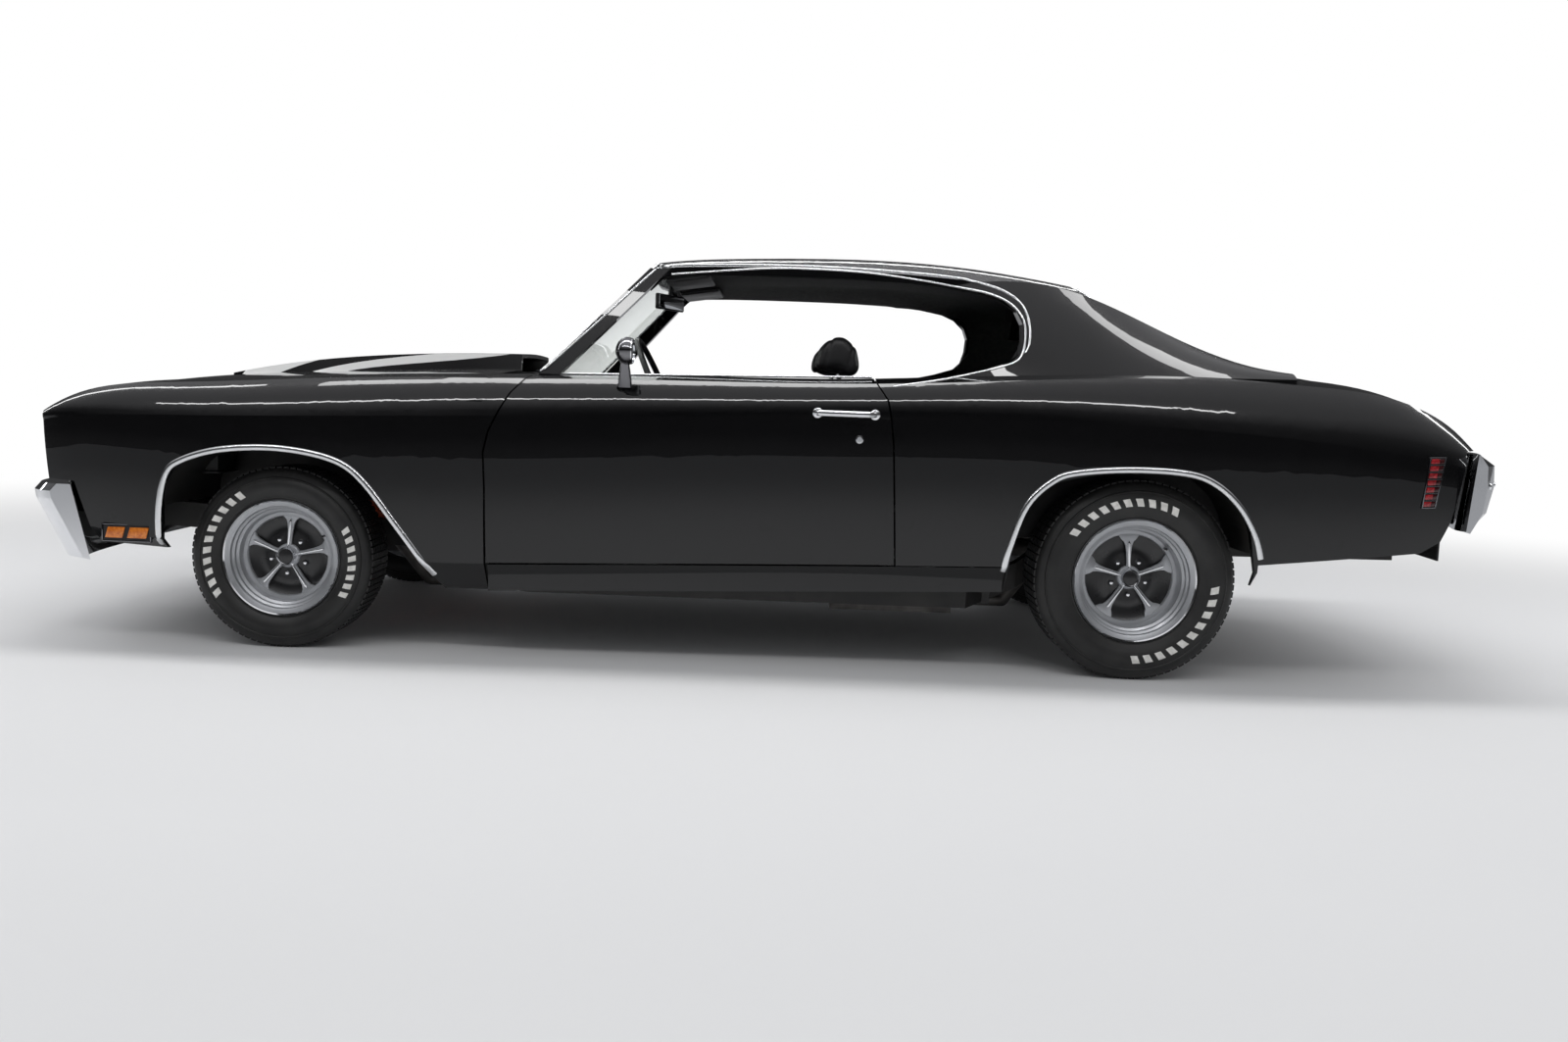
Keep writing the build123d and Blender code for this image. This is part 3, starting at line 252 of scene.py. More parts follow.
# base colour under one clear coat, which alone mirrors the room
def glossBlack(name):
    mat = newMaterial(name, paint["black"], paint["roughness"], coat=paint["coat"], spread=paint["spread"],
                      grain=paint["grain"])
    mat.node_tree.nodes["Principled BSDF"].inputs["Specular IOR Level"].default_value = paint["specular"]
    return mat


def clearGlass(name, tint):
    mat = newMaterial(name, tint, 0.0)
    shader = mat.node_tree.nodes["Principled BSDF"]
    shader.inputs["Transmission Weight"].default_value = 1.0
    shader.inputs["IOR"].default_value = 1.45
    return mat


blackPaint = glossBlack("blackPaint")
windowGlass = clearGlass("windowGlass", (0.93, 0.97, 0.95))
lampGlass = clearGlass("lampGlass", (0.95, 0.97, 0.98))

chrome = newMaterial("chrome", (0.82, 0.83, 0.85), 0.05, 1.0, spread=(14, 0.03, 0.09))
brightTrim = newMaterial("brightTrim", (0.78, 0.79, 0.80), 0.16, 1.0, spread=(40, 0.10, 0.22))
# chrome with its colour darkened to stand in for the dark room it mirrors: a painted dark reflection
chromeWithPaintedDarkReflection = newMaterial("chromeWithPaintedDarkReflection", (0.20, 0.20, 0.21), 0.07, 1.0, spread=(22, 0.05, 0.13))
mirrorFace = newMaterial("mirrorFace", (0.72, 0.74, 0.76), 0.02, 1.0, spread=(30, 0.015, 0.03))
satinBlack = newMaterial("satinBlack", (0.012, 0.012, 0.013), 0.45, spread=(12, 0.35, 0.6),
                         grain=(500, 0.00003))
wheelBlack = newMaterial("wheelBlack", (0.010, 0.010, 0.011), 0.3, coat=(0.3, 0.2), spread=(18, 0.24, 0.4))
frameBlack = newMaterial("frameBlack", (0.018, 0.018, 0.018), 0.5, grain=(180, 0.0001),
                         mottle=(6, (0.011, 0.011, 0.011), (0.028, 0.026, 0.024)))
castMetal = newMaterial("castMetal", (0.16, 0.155, 0.15), 0.5, 0.8, grain=(300, 0.00012),
                        mottle=(9, (0.10, 0.095, 0.09), (0.22, 0.21, 0.20)))
wheelSilver = newMaterial("wheelSilver", (0.40, 0.41, 0.43), 0.34, 0.6, coat=(0.4, 0.15),
                          spread=(20, 0.28, 0.42))
tyreRubber = newMaterial("tyreRubber", (0.012, 0.012, 0.012), 0.5, grain=(900, 0.00006),
                         mottle=(15, (0.008, 0.008, 0.008), (0.016, 0.0155, 0.015)))
whiteRubber = newMaterial("whiteRubber", (0.72, 0.71, 0.68), 0.6,
                          mottle=(60, (0.60, 0.59, 0.56), (0.78, 0.77, 0.74)))
hoseRubber = newMaterial("hoseRubber", (0.02, 0.02, 0.02), 0.55, spread=(40, 0.45, 0.65), grain=(400, 0.0001))
blackVinyl = newMaterial("blackVinyl", (0.012, 0.012, 0.013), 0.42, spread=(7, 0.34, 0.5), hide=(520, 0.0003))
visorVinyl = newMaterial("visorVinyl", (0.035, 0.035, 0.036), 0.5, spread=(9, 0.42, 0.58), hide=(600, 0.0002))
headCloth = newMaterial("headCloth", (0.014, 0.014, 0.014), 0.85, grain=(900, 0.0004),
                        mottle=(60, (0.009, 0.009, 0.009), (0.02, 0.02, 0.02)))
carpet = newMaterial("carpet", (0.012, 0.012, 0.012), 0.95, grain=(700, 0.002),
                     mottle=(90, (0.007, 0.007, 0.007), (0.022, 0.022, 0.022)))
engineOrange = newMaterial("engineOrange", (0.55, 0.075, 0.012), 0.4, coat=(0.3, 0.2), grain=(240, 0.00015),
                           mottle=(12, (0.42, 0.05, 0.01), (0.62, 0.095, 0.018)))
dialFace = newMaterial("dialFace", (0.02, 0.02, 0.022), 0.3, coat=(0.6, 0.05), spread=(30, 0.25, 0.35))
dialMark = newMaterial("dialMark", (0.75, 0.75, 0.72), 0.5, mottle=(80, (0.66, 0.66, 0.63), (0.8, 0.8, 0.77)))
amberLens = newMaterial("amberLens", (0.62, 0.16, 0.012), 0.15, coat=(0.8, 0.05), hide=(420, 0.0004),
                        mottle=(120, (0.5, 0.11, 0.008), (0.72, 0.22, 0.02)))
redLens = newMaterial("redLens", (0.26, 0.006, 0.010), 0.15, coat=(0.8, 0.05), hide=(420, 0.0004),
                      mottle=(110, (0.17, 0.003, 0.006), (0.36, 0.012, 0.018)))
# a darker copy of the red lens colour: painted shade on the rear third of each marker segment
redLensPaintedShade = newMaterial("redLensPaintedShade", (0.035, 0.002, 0.003), 0.2, coat=(0.6, 0.08),
                       mottle=(110, (0.02, 0.001, 0.002), (0.055, 0.003, 0.004)))


stripes = {
    "white": (0.80, 0.80, 0.79),
    "hoodInner": 0.062,     # distance of the stripe's inner edge from the centreline
    "hoodOuter": 0.250,
    "pinInner": 0.262,      # thin outer line
    "pinOuter": 0.270,
    "hoodEnd": -9.0,        # the bands stop at this x
    "deckEnd": -2.12,
    "leastFacing": 0.2,     # the bands are on faces that look up at least this much
}


def mathNode(tree, operation, first, second):
    return addNode(tree, "Math", {0: first, 1: second}, operation=operation).outputs[0]


# black paint with two broad white bands and a pin line beside each
def stripedPaint(name, end):
    mat = glossBlack(name)
    tree = mat.node_tree
    place = addNode(tree, "TexCoord", {})
    split = addNode(tree, "SeparateXYZ", {0: place.outputs["Object"]})
    facing = addNode(tree, "SeparateXYZ", {0: place.outputs["Normal"]})
    across = mathNode(tree, "ABSOLUTE", split.outputs["Y"], 0.0)

    def band(inner, outer):
        return mathNode(tree, "MULTIPLY", mathNode(tree, "GREATER_THAN", across, stripes[inner]),
                        mathNode(tree, "LESS_THAN", across, stripes[outer]))

    mask = mathNode(tree, "MAXIMUM", band("hoodInner", "hoodOuter"), band("pinInner", "pinOuter"))
    mask = mathNode(tree, "MULTIPLY", mask, mathNode(tree, "GREATER_THAN", split.outputs["X"], end))
    upward = mathNode(tree, "GREATER_THAN", facing.outputs["Z"], stripes["leastFacing"])
    mask = mathNode(tree, "MULTIPLY", mask, upward)
    mix = addNode(tree, "Mix", {"Factor": mask, "A": (*paint["black"], 1), "B": (*stripes["white"], 1)},
                  data_type="RGBA")
    tree.links.new(mix.outputs["Result"], tree.nodes["Principled BSDF"].inputs["Base Color"])
    return mat


hoodPaint = stripedPaint("hoodPaint", stripes["hoodEnd"])
deckPaint = stripedPaint("deckPaint", stripes["deckEnd"])

finish = {
    "front_fenders": blackPaint, "quarter_panels": blackPaint, "door_left": blackPaint,
    "door_right": blackPaint,
    "hood": hoodPaint, "nose_panel": blackPaint, "rockers": blackPaint, "roof": blackPaint,
    "tulip_panel": blackPaint, "decklid": deckPaint, "tail_panel": satinBlack, "lamp_bezels": blackPaint,
    "grille": satinBlack, "front_bumper": chrome, "rear_bumper": chrome, "valances": blackPaint,
    "windshield": windowGlass, "backlight": windowGlass, "headlamps": lampGlass, "amber_markers": amberLens,
    "red_markers": redLens, "tail_lamps": redLens, "door_fittings_left": chrome, "door_handle_right": chrome,
    "cowl": blackPaint, "dashboard": blackVinyl, "steering": blackVinyl, "console": blackVinyl,
    "bucket_seats": blackVinyl, "rear_seat": blackVinyl, "parcel_shelf": satinBlack,
    "inside_mirror": brightTrim,
    "floor_pan": frameBlack, "wheelhouses": frameBlack, "frame": frameBlack, "engine": engineOrange,
    "radiator": satinBlack, "gearbox_and_shaft": castMetal, "rear_axle": frameBlack, "fuel_tank": castMetal,
    "exhaust": castMetal, "knuckle_left": castMetal, "knuckle_right": castMetal, "front_arms": frameBlack,
}
for name, obj in nodes.items():
    mat = finish.get(name)
    if name.startswith("tyre"):
        mat = tyreRubber
    if name.startswith("wheel_"):
        mat = wheelSilver
    if mat is None:
        print("no finish for", name)
        continue
    obj.data.materials.clear()
    obj.data.materials.append(mat)
print("finishes set")


# modelling helpers

def deselect():
    if bpy.context.object and bpy.context.object.mode != "OBJECT":
        bpy.ops.object.mode_set(mode="OBJECT")
    bpy.ops.object.select_all(action="DESELECT")


def pick(obj):
    deselect()
    obj.select_set(True)
    bpy.context.view_layer.objects.active = obj


# picked piece from points and faces
def fromPoints(name, points, faces):
    mesh = bpy.data.meshes.new(name)
    mesh.from_pydata(points, [], faces)
    obj = bpy.data.objects.new(name, mesh)
    scene.collection.objects.link(obj)
    pick(obj)
    return obj


def faceOutward():
    bpy.ops.object.mode_set(mode="EDIT")
    bpy.ops.mesh.select_all(action="SELECT")
    bpy.ops.mesh.normals_make_consistent(inside=False)
    bpy.ops.object.mode_set(mode="OBJECT")


# edit mode with only those faces selected that pass the test
def editFaces(obj, test):
    bpy.ops.object.mode_set(mode="EDIT")
    bpy.ops.mesh.select_mode(type="FACE")
    bpy.ops.mesh.select_all(action="DESELECT")
    bpy.ops.object.mode_set(mode="OBJECT")
    for face in obj.data.polygons:
        face.select = test(face)
    bpy.ops.object.mode_set(mode="EDIT")


# back to object mode and to selecting by corners
def leaveFaces():
    bpy.ops.mesh.select_mode(type="VERT")
    bpy.ops.object.mode_set(mode="OBJECT")


# angles in equal steps once round
def roundAngles(count):
    return [math.radians(360 / count * k) for k in range(count)]


# quads between rows of points, each row as long as width
def quadsBetween(rows, width, closed=False):
    steps = width if closed else width - 1
    return [(i * width + k, i * width + (k + 1) % width, (i + 1) * width + (k + 1) % width,
             (i + 1) * width + k)
            for i in range(rows - 1) for k in range(steps)]


def turnAbout(centre, angle, axis):
    c = Vector(centre)
    return Matrix.Translation(c) @ Matrix.Rotation(angle, 4, axis) @ Matrix.Translation(-c)


# name, finish, shading and body of a piece, which a list of parts is joined into
def settle(made, name, mat, smooth=35, body="root"):
    obj = joined(made) if isinstance(made, list) else made
    pick(obj)
    bpy.ops.object.transform_apply(location=True, rotation=True, scale=True)
    obj.name = name
    obj.data.name = name
    obj.data.materials.clear()
    obj.data.materials.append(mat)
    if smooth:
        bpy.ops.object.shade_smooth_by_angle(angle=math.radians(smooth))
    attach(obj, body)
    return obj


def roundedBox(x0, x1, y0, y1, z0, z1, bevel=0.004, segments=2):
    deselect()
    bpy.ops.mesh.primitive_cube_add(size=1, location=((x0 + x1) / 2, (y0 + y1) / 2, (z0 + z1) / 2))
    obj = bpy.context.object
    obj.scale = (x1 - x0, y1 - y0, z1 - z0)
    bpy.ops.object.transform_apply(location=True, rotation=True, scale=True)
    bpy.ops.object.mode_set(mode="EDIT")
    bpy.ops.mesh.bevel(offset=bevel, segments=segments, affect="EDGES")
    bpy.ops.object.mode_set(mode="OBJECT")
    return obj


# short cylinder along an axis with an edge bevel
def tube(x, y, z, radius, depth, axis="Y", sides=32, bevel=0.0):
    turn = {"X": (0, math.pi / 2, 0), "Y": (math.pi / 2, 0, 0), "Z": (0, 0, 0)}[axis]
    deselect()
    bpy.ops.mesh.primitive_cylinder_add(vertices=sides, radius=radius, depth=depth, location=(x, y, z),
                                        rotation=turn)
    obj = bpy.context.object
    bpy.ops.object.transform_apply(location=True, rotation=True, scale=True)
    if bevel:
        addBevel(obj, bevel)
    return obj


def addBevel(obj, width):
    pick(obj)
    edge = obj.modifiers.new("edge", "BEVEL")
    edge.width = width
    edge.segments = 2
    edge.limit_method = "ANGLE"
    edge.angle_limit = math.radians(40)
    bpy.ops.object.modifier_apply(modifier=edge.name)


def joined(parts):
    deselect()
    for part in parts:
        part.select_set(True)
    bpy.context.view_layer.objects.active = parts[0]
    bpy.ops.object.join()
    return bpy.context.object


# profile of (radius, along) points drawn point by point and spun about an axis through centre
def spun(profile, centre, axis="Y", steps=48):
    c = Vector(centre)
    along = {"X": Vector((1, 0, 0)), "Y": Vector((0, 1, 0)), "Z": Vector((0, 0, 1))}[axis]
    out = {"X": Vector((0, 0, 1)), "Y": Vector((0, 0, 1)), "Z": Vector((1, 0, 0))}[axis]
    points = [c + out * r + along * a for r, a in profile]
    deselect()
    bpy.ops.mesh.primitive_plane_add(size=0.01, location=(0, 0, 0))
    obj = bpy.context.object
    bpy.ops.object.mode_set(mode="EDIT")
    bpy.ops.mesh.select_mode(type="VERT")
    bpy.ops.mesh.select_all(action="SELECT")
    bpy.ops.mesh.merge(type="CENTER")
    bpy.ops.transform.translate(value=points[0])
    for a, b in zip(points, points[1:]):
        bpy.ops.mesh.extrude_vertices_move(TRANSFORM_OT_translate={"value": b - a})
    bpy.ops.mesh.select_all(action="SELECT")
    bpy.ops.mesh.spin(steps=steps, angle=math.radians(360), center=c, axis=along)
    bpy.ops.mesh.select_all(action="SELECT")
    bpy.ops.mesh.remove_doubles(threshold=0.00002)
    bpy.ops.mesh.normals_make_consistent(inside=False)
    bpy.ops.object.mode_set(mode="OBJECT")
    return obj


# flat outline filled and extruded; plane XZ, XY or YZ
def slab(outline, plane, level, thick, bevel=0.0):
    across = "XYZ".index(({"X", "Y", "Z"} - set(plane)).pop())
    corners = []
    for point in outline:
        corner = list(point)
        corner.insert(across, level)
        corners.append(corner)
    push = [0, 0, 0]
    push[across] = thick
    obj = fromPoints("outline", corners, [list(range(len(corners)))])
    bpy.ops.object.mode_set(mode="EDIT")
    bpy.ops.mesh.select_all(action="SELECT")
    bpy.ops.mesh.extrude_region_move(TRANSFORM_OT_translate={"value": push})
    bpy.ops.object.mode_set(mode="OBJECT")
    faceOutward()
    if bevel:
        addBevel(obj, bevel)
    return obj


# round bar or hose that follows points
def rope(points, radius, mat, name, sides=4, closed=False, body="root"):
    deselect()
    curve = bpy.data.curves.new(name, "CURVE")
    curve.dimensions = "3D"
    curve.bevel_depth = radius
    curve.bevel_resolution = sides
    curve.use_fill_caps = True
    spline = curve.splines.new("NURBS")
    spline.points.add(len(points) - 1)
    for point, p in zip(spline.points, points):
        point.co = (*p, 1)
    spline.order_u = 3
    spline.use_endpoint_u = not closed
    spline.use_cyclic_u = closed
    spline.resolution_u = 8
    obj = bpy.data.objects.new(name, curve)
    scene.collection.objects.link(obj)
    pick(obj)
    bpy.ops.object.convert(target="MESH")
    return settle(bpy.context.object, name, mat, 60, body)


def meshCopy(obj):
    deselect()
    other = obj.copy()
    other.data = obj.data.copy()
    scene.collection.objects.link(other)
    return other


def turnedCopy(obj, angle, centre):
    other = meshCopy(obj)
    other.data.transform(turnAbout(centre, angle, "Y"))
    return other


# the same left piece on the right side of the car, with its own mesh
def mirroredCopy(obj, body="root"):
    other = meshCopy(obj)
    other.data.transform(Matrix.Scale(-1, 4, (0, 1, 0)))
    other.data.flip_normals()
    other.name = other.data.name = obj.name.replace("_left", "_right")
    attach(other, body)
    return other


def surfaceOf(*names):
    trees = []
    for name in names:
        mesh = nodes[name].data
        trees.append(BVHTree.FromPolygons([v.co for v in mesh.vertices],
                                          [tuple(p.vertices) for p in mesh.polygons]))
    return trees


def landOn(trees, start, direction):
    best = None
    for tree in trees:
        hit = tree.ray_cast(Vector(start), Vector(direction))
        if hit[0] is not None and (best is None or hit[3] < best[2]):
            best = (hit[0], hit[1], hit[3])
    return best


beside = 1.3    # y of a point outside the car's left side


# where a level ray from the car's left side lands
def onFlank(trees, x, z):
    return landOn(trees, (x, beside, z), (0, -1, 0))


# points of a smooth line through the given ones
def smoothLine(points, per=6):
    out = []
    ext = [points[0], *points, points[-1]]
    for i in range(1, len(ext) - 2):
        p0, p1, p2, p3 = [Vector(p) for p in ext[i - 1:i + 3]]
        for k in range(per):
            t = k / per
            out.append(0.5 * (2 * p1 + (p2 - p0) * t + (2 * p0 - 5 * p1 + 4 * p2 - p3) * t ** 2
                              + (3 * p1 - p0 - 3 * p2 + p3) * t ** 3))
    out.append(Vector(points[-1]))
    return out


# bright strip of rounded section laid on the car's left side along (x, z) points in metres
def sideStrip(name, line, trees, width, height):
    sink = 0.0008
    track = []
    last = None
    for p in smoothLine([(x, z, 0) for x, z in line]):
        hit = onFlank(trees, p.x, p.y)
        if hit is None or hit[0].y < 0.45:
            continue
        normal = hit[1] if hit[1].y > 0 else -hit[1]
        if normal.y < 0.35:
            normal = last[1] if last else Vector((0, 1, 0))
        if last and abs(hit[0].y - last[0].y) > 0.03:
            continue
        last = (hit[0].copy(), normal.normalized())
        track.append(last)
    verts = []
    ring = 7
    for i, (p, n) in enumerate(track):
        a = track[max(i - 1, 0)][0]
        b = track[min(i + 1, len(track) - 1)][0]
        ahead = (b - a).normalized()
        across = ahead.cross(n).normalized()
        for k in range(ring):
            angle = math.pi * k / (ring - 1)
            verts.append(p + across * (width / 2 * math.cos(angle)) + n * (height * math.sin(angle) - sink))
    faces = quadsBetween(len(track), ring, True)
    faces.append(tuple(range(ring)))
    faces.append(tuple((len(track) - 1) * ring + k for k in reversed(range(ring))))
    obj = fromPoints(name, verts, faces)
    faceOutward()
    return settle(obj, name, brightTrim, 50)


# wheels and tyres

wheelSet = {
    "front": {"x": 1.6005, "z": 0.304, "middle": 0.762, "rim": 0.178, "halfWidth": 0.089, "dish": 0.056,
              "tyre": 0.304, "tyreHalf": 0.1125, "turn": -5.0, "marks": ((118, 215, 11), (-32, 28, 8))},
    "rear": {"x": -1.2445, "z": 0.336, "middle": 0.7595, "rim": 0.1905, "halfWidth": 0.1015, "dish": 0.076,
             "tyre": 0.336, "tyreHalf": 0.1275, "turn": 3.0, "marks": ((60, 148, 10), (-92, 0, 10))},
    "spokes": 5,
    "nutRing": 0.0603,
    "treadColumns": 84,
    "treadDepth": 0.006,
    "markHeight": 0.026,
}


# radius and distance from the wheel's middle of the tyre's outer side, bead to shoulder
def outerSide(w):
    bore = w["rim"] + 0.0003
    half = w["tyreHalf"]
    bead = w["halfWidth"] - 0.012
    radius = w["tyre"]
    middle = (bore + radius) / 2
    return [
        (bore, bead), (bore + 0.008, bead + 0.013), (bore + 0.020, bead + 0.018),
        (bore + 0.022, bead + 0.0205),
        (bore + 0.025, bead + 0.0195), (middle - 0.026, half - 0.008), (middle - 0.012, half - 0.0028),
        (middle, half - 0.001), (middle + 0.014, half - 0.003), (radius - 0.040, half - 0.0075),
        (radius - 0.038, half - 0.0055), (radius - 0.035, half - 0.0060), (radius - 0.033, half - 0.0105),
        (radius - 0.020, half - 0.0150), (radius - 0.011, half - 0.0215),
    ]


def makeTyre(end, w):
    radius, half = w["tyre"], w["tyreHalf"]
    base = radius - wheelSet["treadDepth"]
    side = outerSide(w)
    across = [(base, half - 0.0300), (base, half - 0.052), (base, half - 0.075), (base, 0.012)]
    profile = side + across + [(r, -y) for r, y in reversed(side + across)]
    bore = w["rim"] + 0.0003
    bead = w["halfWidth"] - 0.012
    inside = [(bore, -bead + 0.014), (radius - 0.022, -half + 0.034), (radius - 0.022, half - 0.034),
              (bore, bead - 0.014)]
    centre = (w["x"], w["middle"], w["z"])
    obj = spun(profile + inside + [profile[0]], centre, "Y", wheelSet["treadColumns"])
    # tread blocks raised from the base band, with grooves left between them

    def onBand(face):
        away = Vector((face.center.x - w["x"], 0, face.center.z - w["z"])).length
        return away > base - 0.004 and abs(face.normal.y) < 0.2

    editFaces(obj, onBand)
    bpy.ops.mesh.inset(thickness=0.0022, depth=0.0, use_individual=True)
    bpy.ops.mesh.inset(thickness=0.0006, depth=wheelSet["treadDepth"] - 0.0004, use_individual=True)
    bpy.ops.object.mode_set(mode="OBJECT")
    return settle(obj, "tyreShell_" + end + "_left", tyreRubber, 28, end + "_left_wheel")


def sideHeight(w, r):
    side = outerSide(w)
    for (r0, y0), (r1, y1) in zip(side, side[1:]):
        if r0 <= r <= r1:
            return y0 + (y1 - y0) * (r - r0) / (r1 - r0)
    return side[-1][1]


# plain raised white blocks on the sidewall, slanted, with no lettering
def makeMarks(end, w):
    tall = wheelSet["markHeight"]
    low = (w["rim"] + w["tyre"]) / 2 - tall / 2
    rows = 5
    parts = []
    for start, stop, count in w["marks"]:
        step = (stop - start) / count
        for i in range(count):
            verts = []
            for lift in (-0.002, 0.0016):
                for k in range(rows):
                    t = k / (rows - 1)
                    r = low + tall * t
                    for a in (0.12 + 0.20 * t, 0.68 + 0.20 * t):
                        angle = math.radians(start + step * (i + a))
                        # angles run anticlockwise as seen from the car's left, with forward on the left
                        verts.append((w["x"] - r * math.cos(angle), w["middle"] + sideHeight(w, r) + lift,
                                      w["z"] + r * math.sin(angle)))
            top = 2 * rows
            faces = []
            for k in range(rows - 1):
                p = 2 * k
                faces += [(p, p + 1, p + 3, p + 2), (top + p, top + p + 2, top + p + 3, top + p + 1),
                          (p, p + 2, top + p + 2, top + p), (p + 1, top + p + 1, top + p + 3, p + 3)]
            faces += [(0, top, top + 1, 1), (top - 2, top - 1, 2 * top - 1, 2 * top - 2)]
            parts.append(fromPoints("mark", verts, faces))
    marks = joined(parts)
    faceOutward()
    return settle(marks, "sidewallMarks_" + end + "_left", whiteRubber, 0, end + "_left_wheel")


def makeWheel(end, w):
    body = end + "_left_wheel"
    h, rim = w["halfWidth"], w["rim"]
    lip = rim + 0.017
    face = h - w["dish"]
    centre = (w["x"], w["middle"], w["z"])
    window = rim - 0.044
    barrel = [
        (window, face - 0.013), (window, face - 0.002), (window + 0.003, face + 0.003),
        (window + 0.014, face + 0.004),
        (window + 0.017, face + 0.008), (window + 0.020, h - 0.030), (window + 0.028, h - 0.025),
        (window + 0.030, h - 0.016), (window + 0.037, h - 0.011), (window + 0.039, h + 0.001),
        (rim + 0.004, h + 0.006),
        (lip - 0.002, h + 0.010), (lip, h + 0.006), (lip - 0.002, h), (rim, h - 0.002), (rim, h - 0.018),
        (rim - 0.020, h - 0.050), (rim - 0.020, -h + 0.036), (rim, -h + 0.014), (rim, -h - 0.002),
        (lip, -h - 0.006),
        (lip - 0.004, -h - 0.010), (rim - 0.008, -h), (rim - 0.026, -h + 0.030), (rim - 0.026, face - 0.013),
        (window, face - 0.013),
    ]
    parts = [spun(barrel, centre, "Y", 96)]
    halfWidths = ((0.030, 0.0085), (0.052, 0.0070), (0.085, 0.0085), (0.108, 0.0115), (0.122, 0.0165),
                  (0.130, 0.0250), (window + 0.004, 0.0400))
    outline = [(-hw, r) for r, hw in halfWidths] + [(hw, r) for r, hw in reversed(halfWidths)]
    level = w["middle"] + face
    bar = slab([(w["x"] + a, w["z"] + b) for a, b in outline], "XZ", level - 0.012, 0.012, 0.0022)
    ridgeLine = [(-0.0030, 0.030), (-0.0042, 0.118), (0, 0.127), (0.0042, 0.118), (0.0030, 0.030)]
    ridge = slab([(w["x"] + a, w["z"] + b) for a, b in ridgeLine], "XZ", level - 0.002, 0.0085, 0.0018)
    bars, ridges = [], []
    for i in range(wheelSet["spokes"]):
        angle = math.radians(w["turn"] + 72 * i)
        bars.append(turnedCopy(bar, angle, centre))
        ridges.append(turnedCopy(ridge, angle, centre))
    bpy.data.objects.remove(bar)
    bpy.data.objects.remove(ridge)
    hub = spun([(0, face - 0.013), (0.041, face - 0.013), (0.040, face + 0.002), (0.036, face + 0.006),
                (0, face + 0.006)],
               centre, "Y", 48)
    silver = settle(parts + bars + [hub], "wheelSpokes_" + end + "_left", wheelSilver, 30, body)
    bright = [joined(ridges)]
    bright.append(spun([(lip - 0.0075, h + 0.0075), (lip - 0.003, h + 0.0122), (lip - 0.0005, h + 0.009),
                        (lip - 0.003, h + 0.005), (lip - 0.0075, h + 0.0075)], centre, "Y", 96))
    bright.append(spun([(0.0235, face + 0.022), (0.027, face + 0.0272), (0.0305, face + 0.022),
                        (0.0315, face + 0.004),
                        (0.0235, face + 0.004), (0.0235, face + 0.022)], centre, "Y", 48))
    nut = spun([(0, 0.0), (0.0105, 0.0), (0.0105, 0.008), (0.0095, 0.015), (0.006, 0.0195), (0, 0.0205)],
               (w["x"], level - 0.024, w["z"] + wheelSet["nutRing"]), "Y", 6)
    for i in range(5):
        bright.append(turnedCopy(nut, math.radians(w["turn"] + 36 + 72 * i), centre))
    bpy.data.objects.remove(nut)
    ring = settle(bright, "wheelBright_" + end + "_left", chrome, 30, body)
    core = spun([(0, face - 0.034), (window + 0.001, face - 0.034), (window + 0.001, face - 0.012),
                 (window - 0.006, face - 0.016), (0.110, face - 0.023), (0.088, face - 0.0235),
                 (0.078, face - 0.019),
                 (0.046, face - 0.012), (0.041, face - 0.010), (0, face - 0.010)], centre, "Y", 72)
    cap = spun([(0, face + 0.006), (0.0238, face + 0.006), (0.0238, face + 0.0228), (0.020, face + 0.0245),
                (0, face + 0.0252)], centre, "Y", 48)
    stem = tube(w["x"], w["middle"] + face + 0.016, w["z"] + window + 0.008, 0.0042, 0.026, "Y", 16, 0.001)
    valve = turnedCopy(stem, math.radians(-60 if end == "front" else -48), centre)
    bpy.data.objects.remove(stem)
    dark = settle([core, cap, valve], "wheelCore_" + end + "_left", wheelBlack, 30, body)
    front = face - 0.037
    # the front drums are smaller and stand clear of the arms when steered
    r, inner = (0.106, -0.034) if end == "front" else (0.124, -0.062)
    drum = spun([(0, inner), (r - 0.004, inner), (r, inner + 0.006), (r, inner + 0.018),
                 (r - 0.0035, inner + 0.021),
                 (r - 0.0035, inner + 0.026), (r, inner + 0.029), (r, front - 0.004), (r - 0.006, front),
                 (0, front)],
                centre, "Y", 72)
    back = settle(drum, "brakeDrum_" + end + "_left", castMetal, 30, body)
    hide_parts("wheel_" + end + "_left")
    return [silver, ring, dark, back]


for end in ("front", "rear"):
    w = wheelSet[end]
    tyre = makeTyre(end, w)
    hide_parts("tyre_" + end + "_left")
    made = makeWheel(end, w) + [tyre, makeMarks(end, w)]
    for obj in made:
        other = mirroredCopy(obj, end + "_right_wheel")
        if obj.name.startswith("wheelSpokes"):
            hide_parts("wheel_" + end + "_right")
        if obj.name.startswith("tyreShell"):
            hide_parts("tyre_" + end + "_right")
print("wheels and tyres made")


# bright mouldings

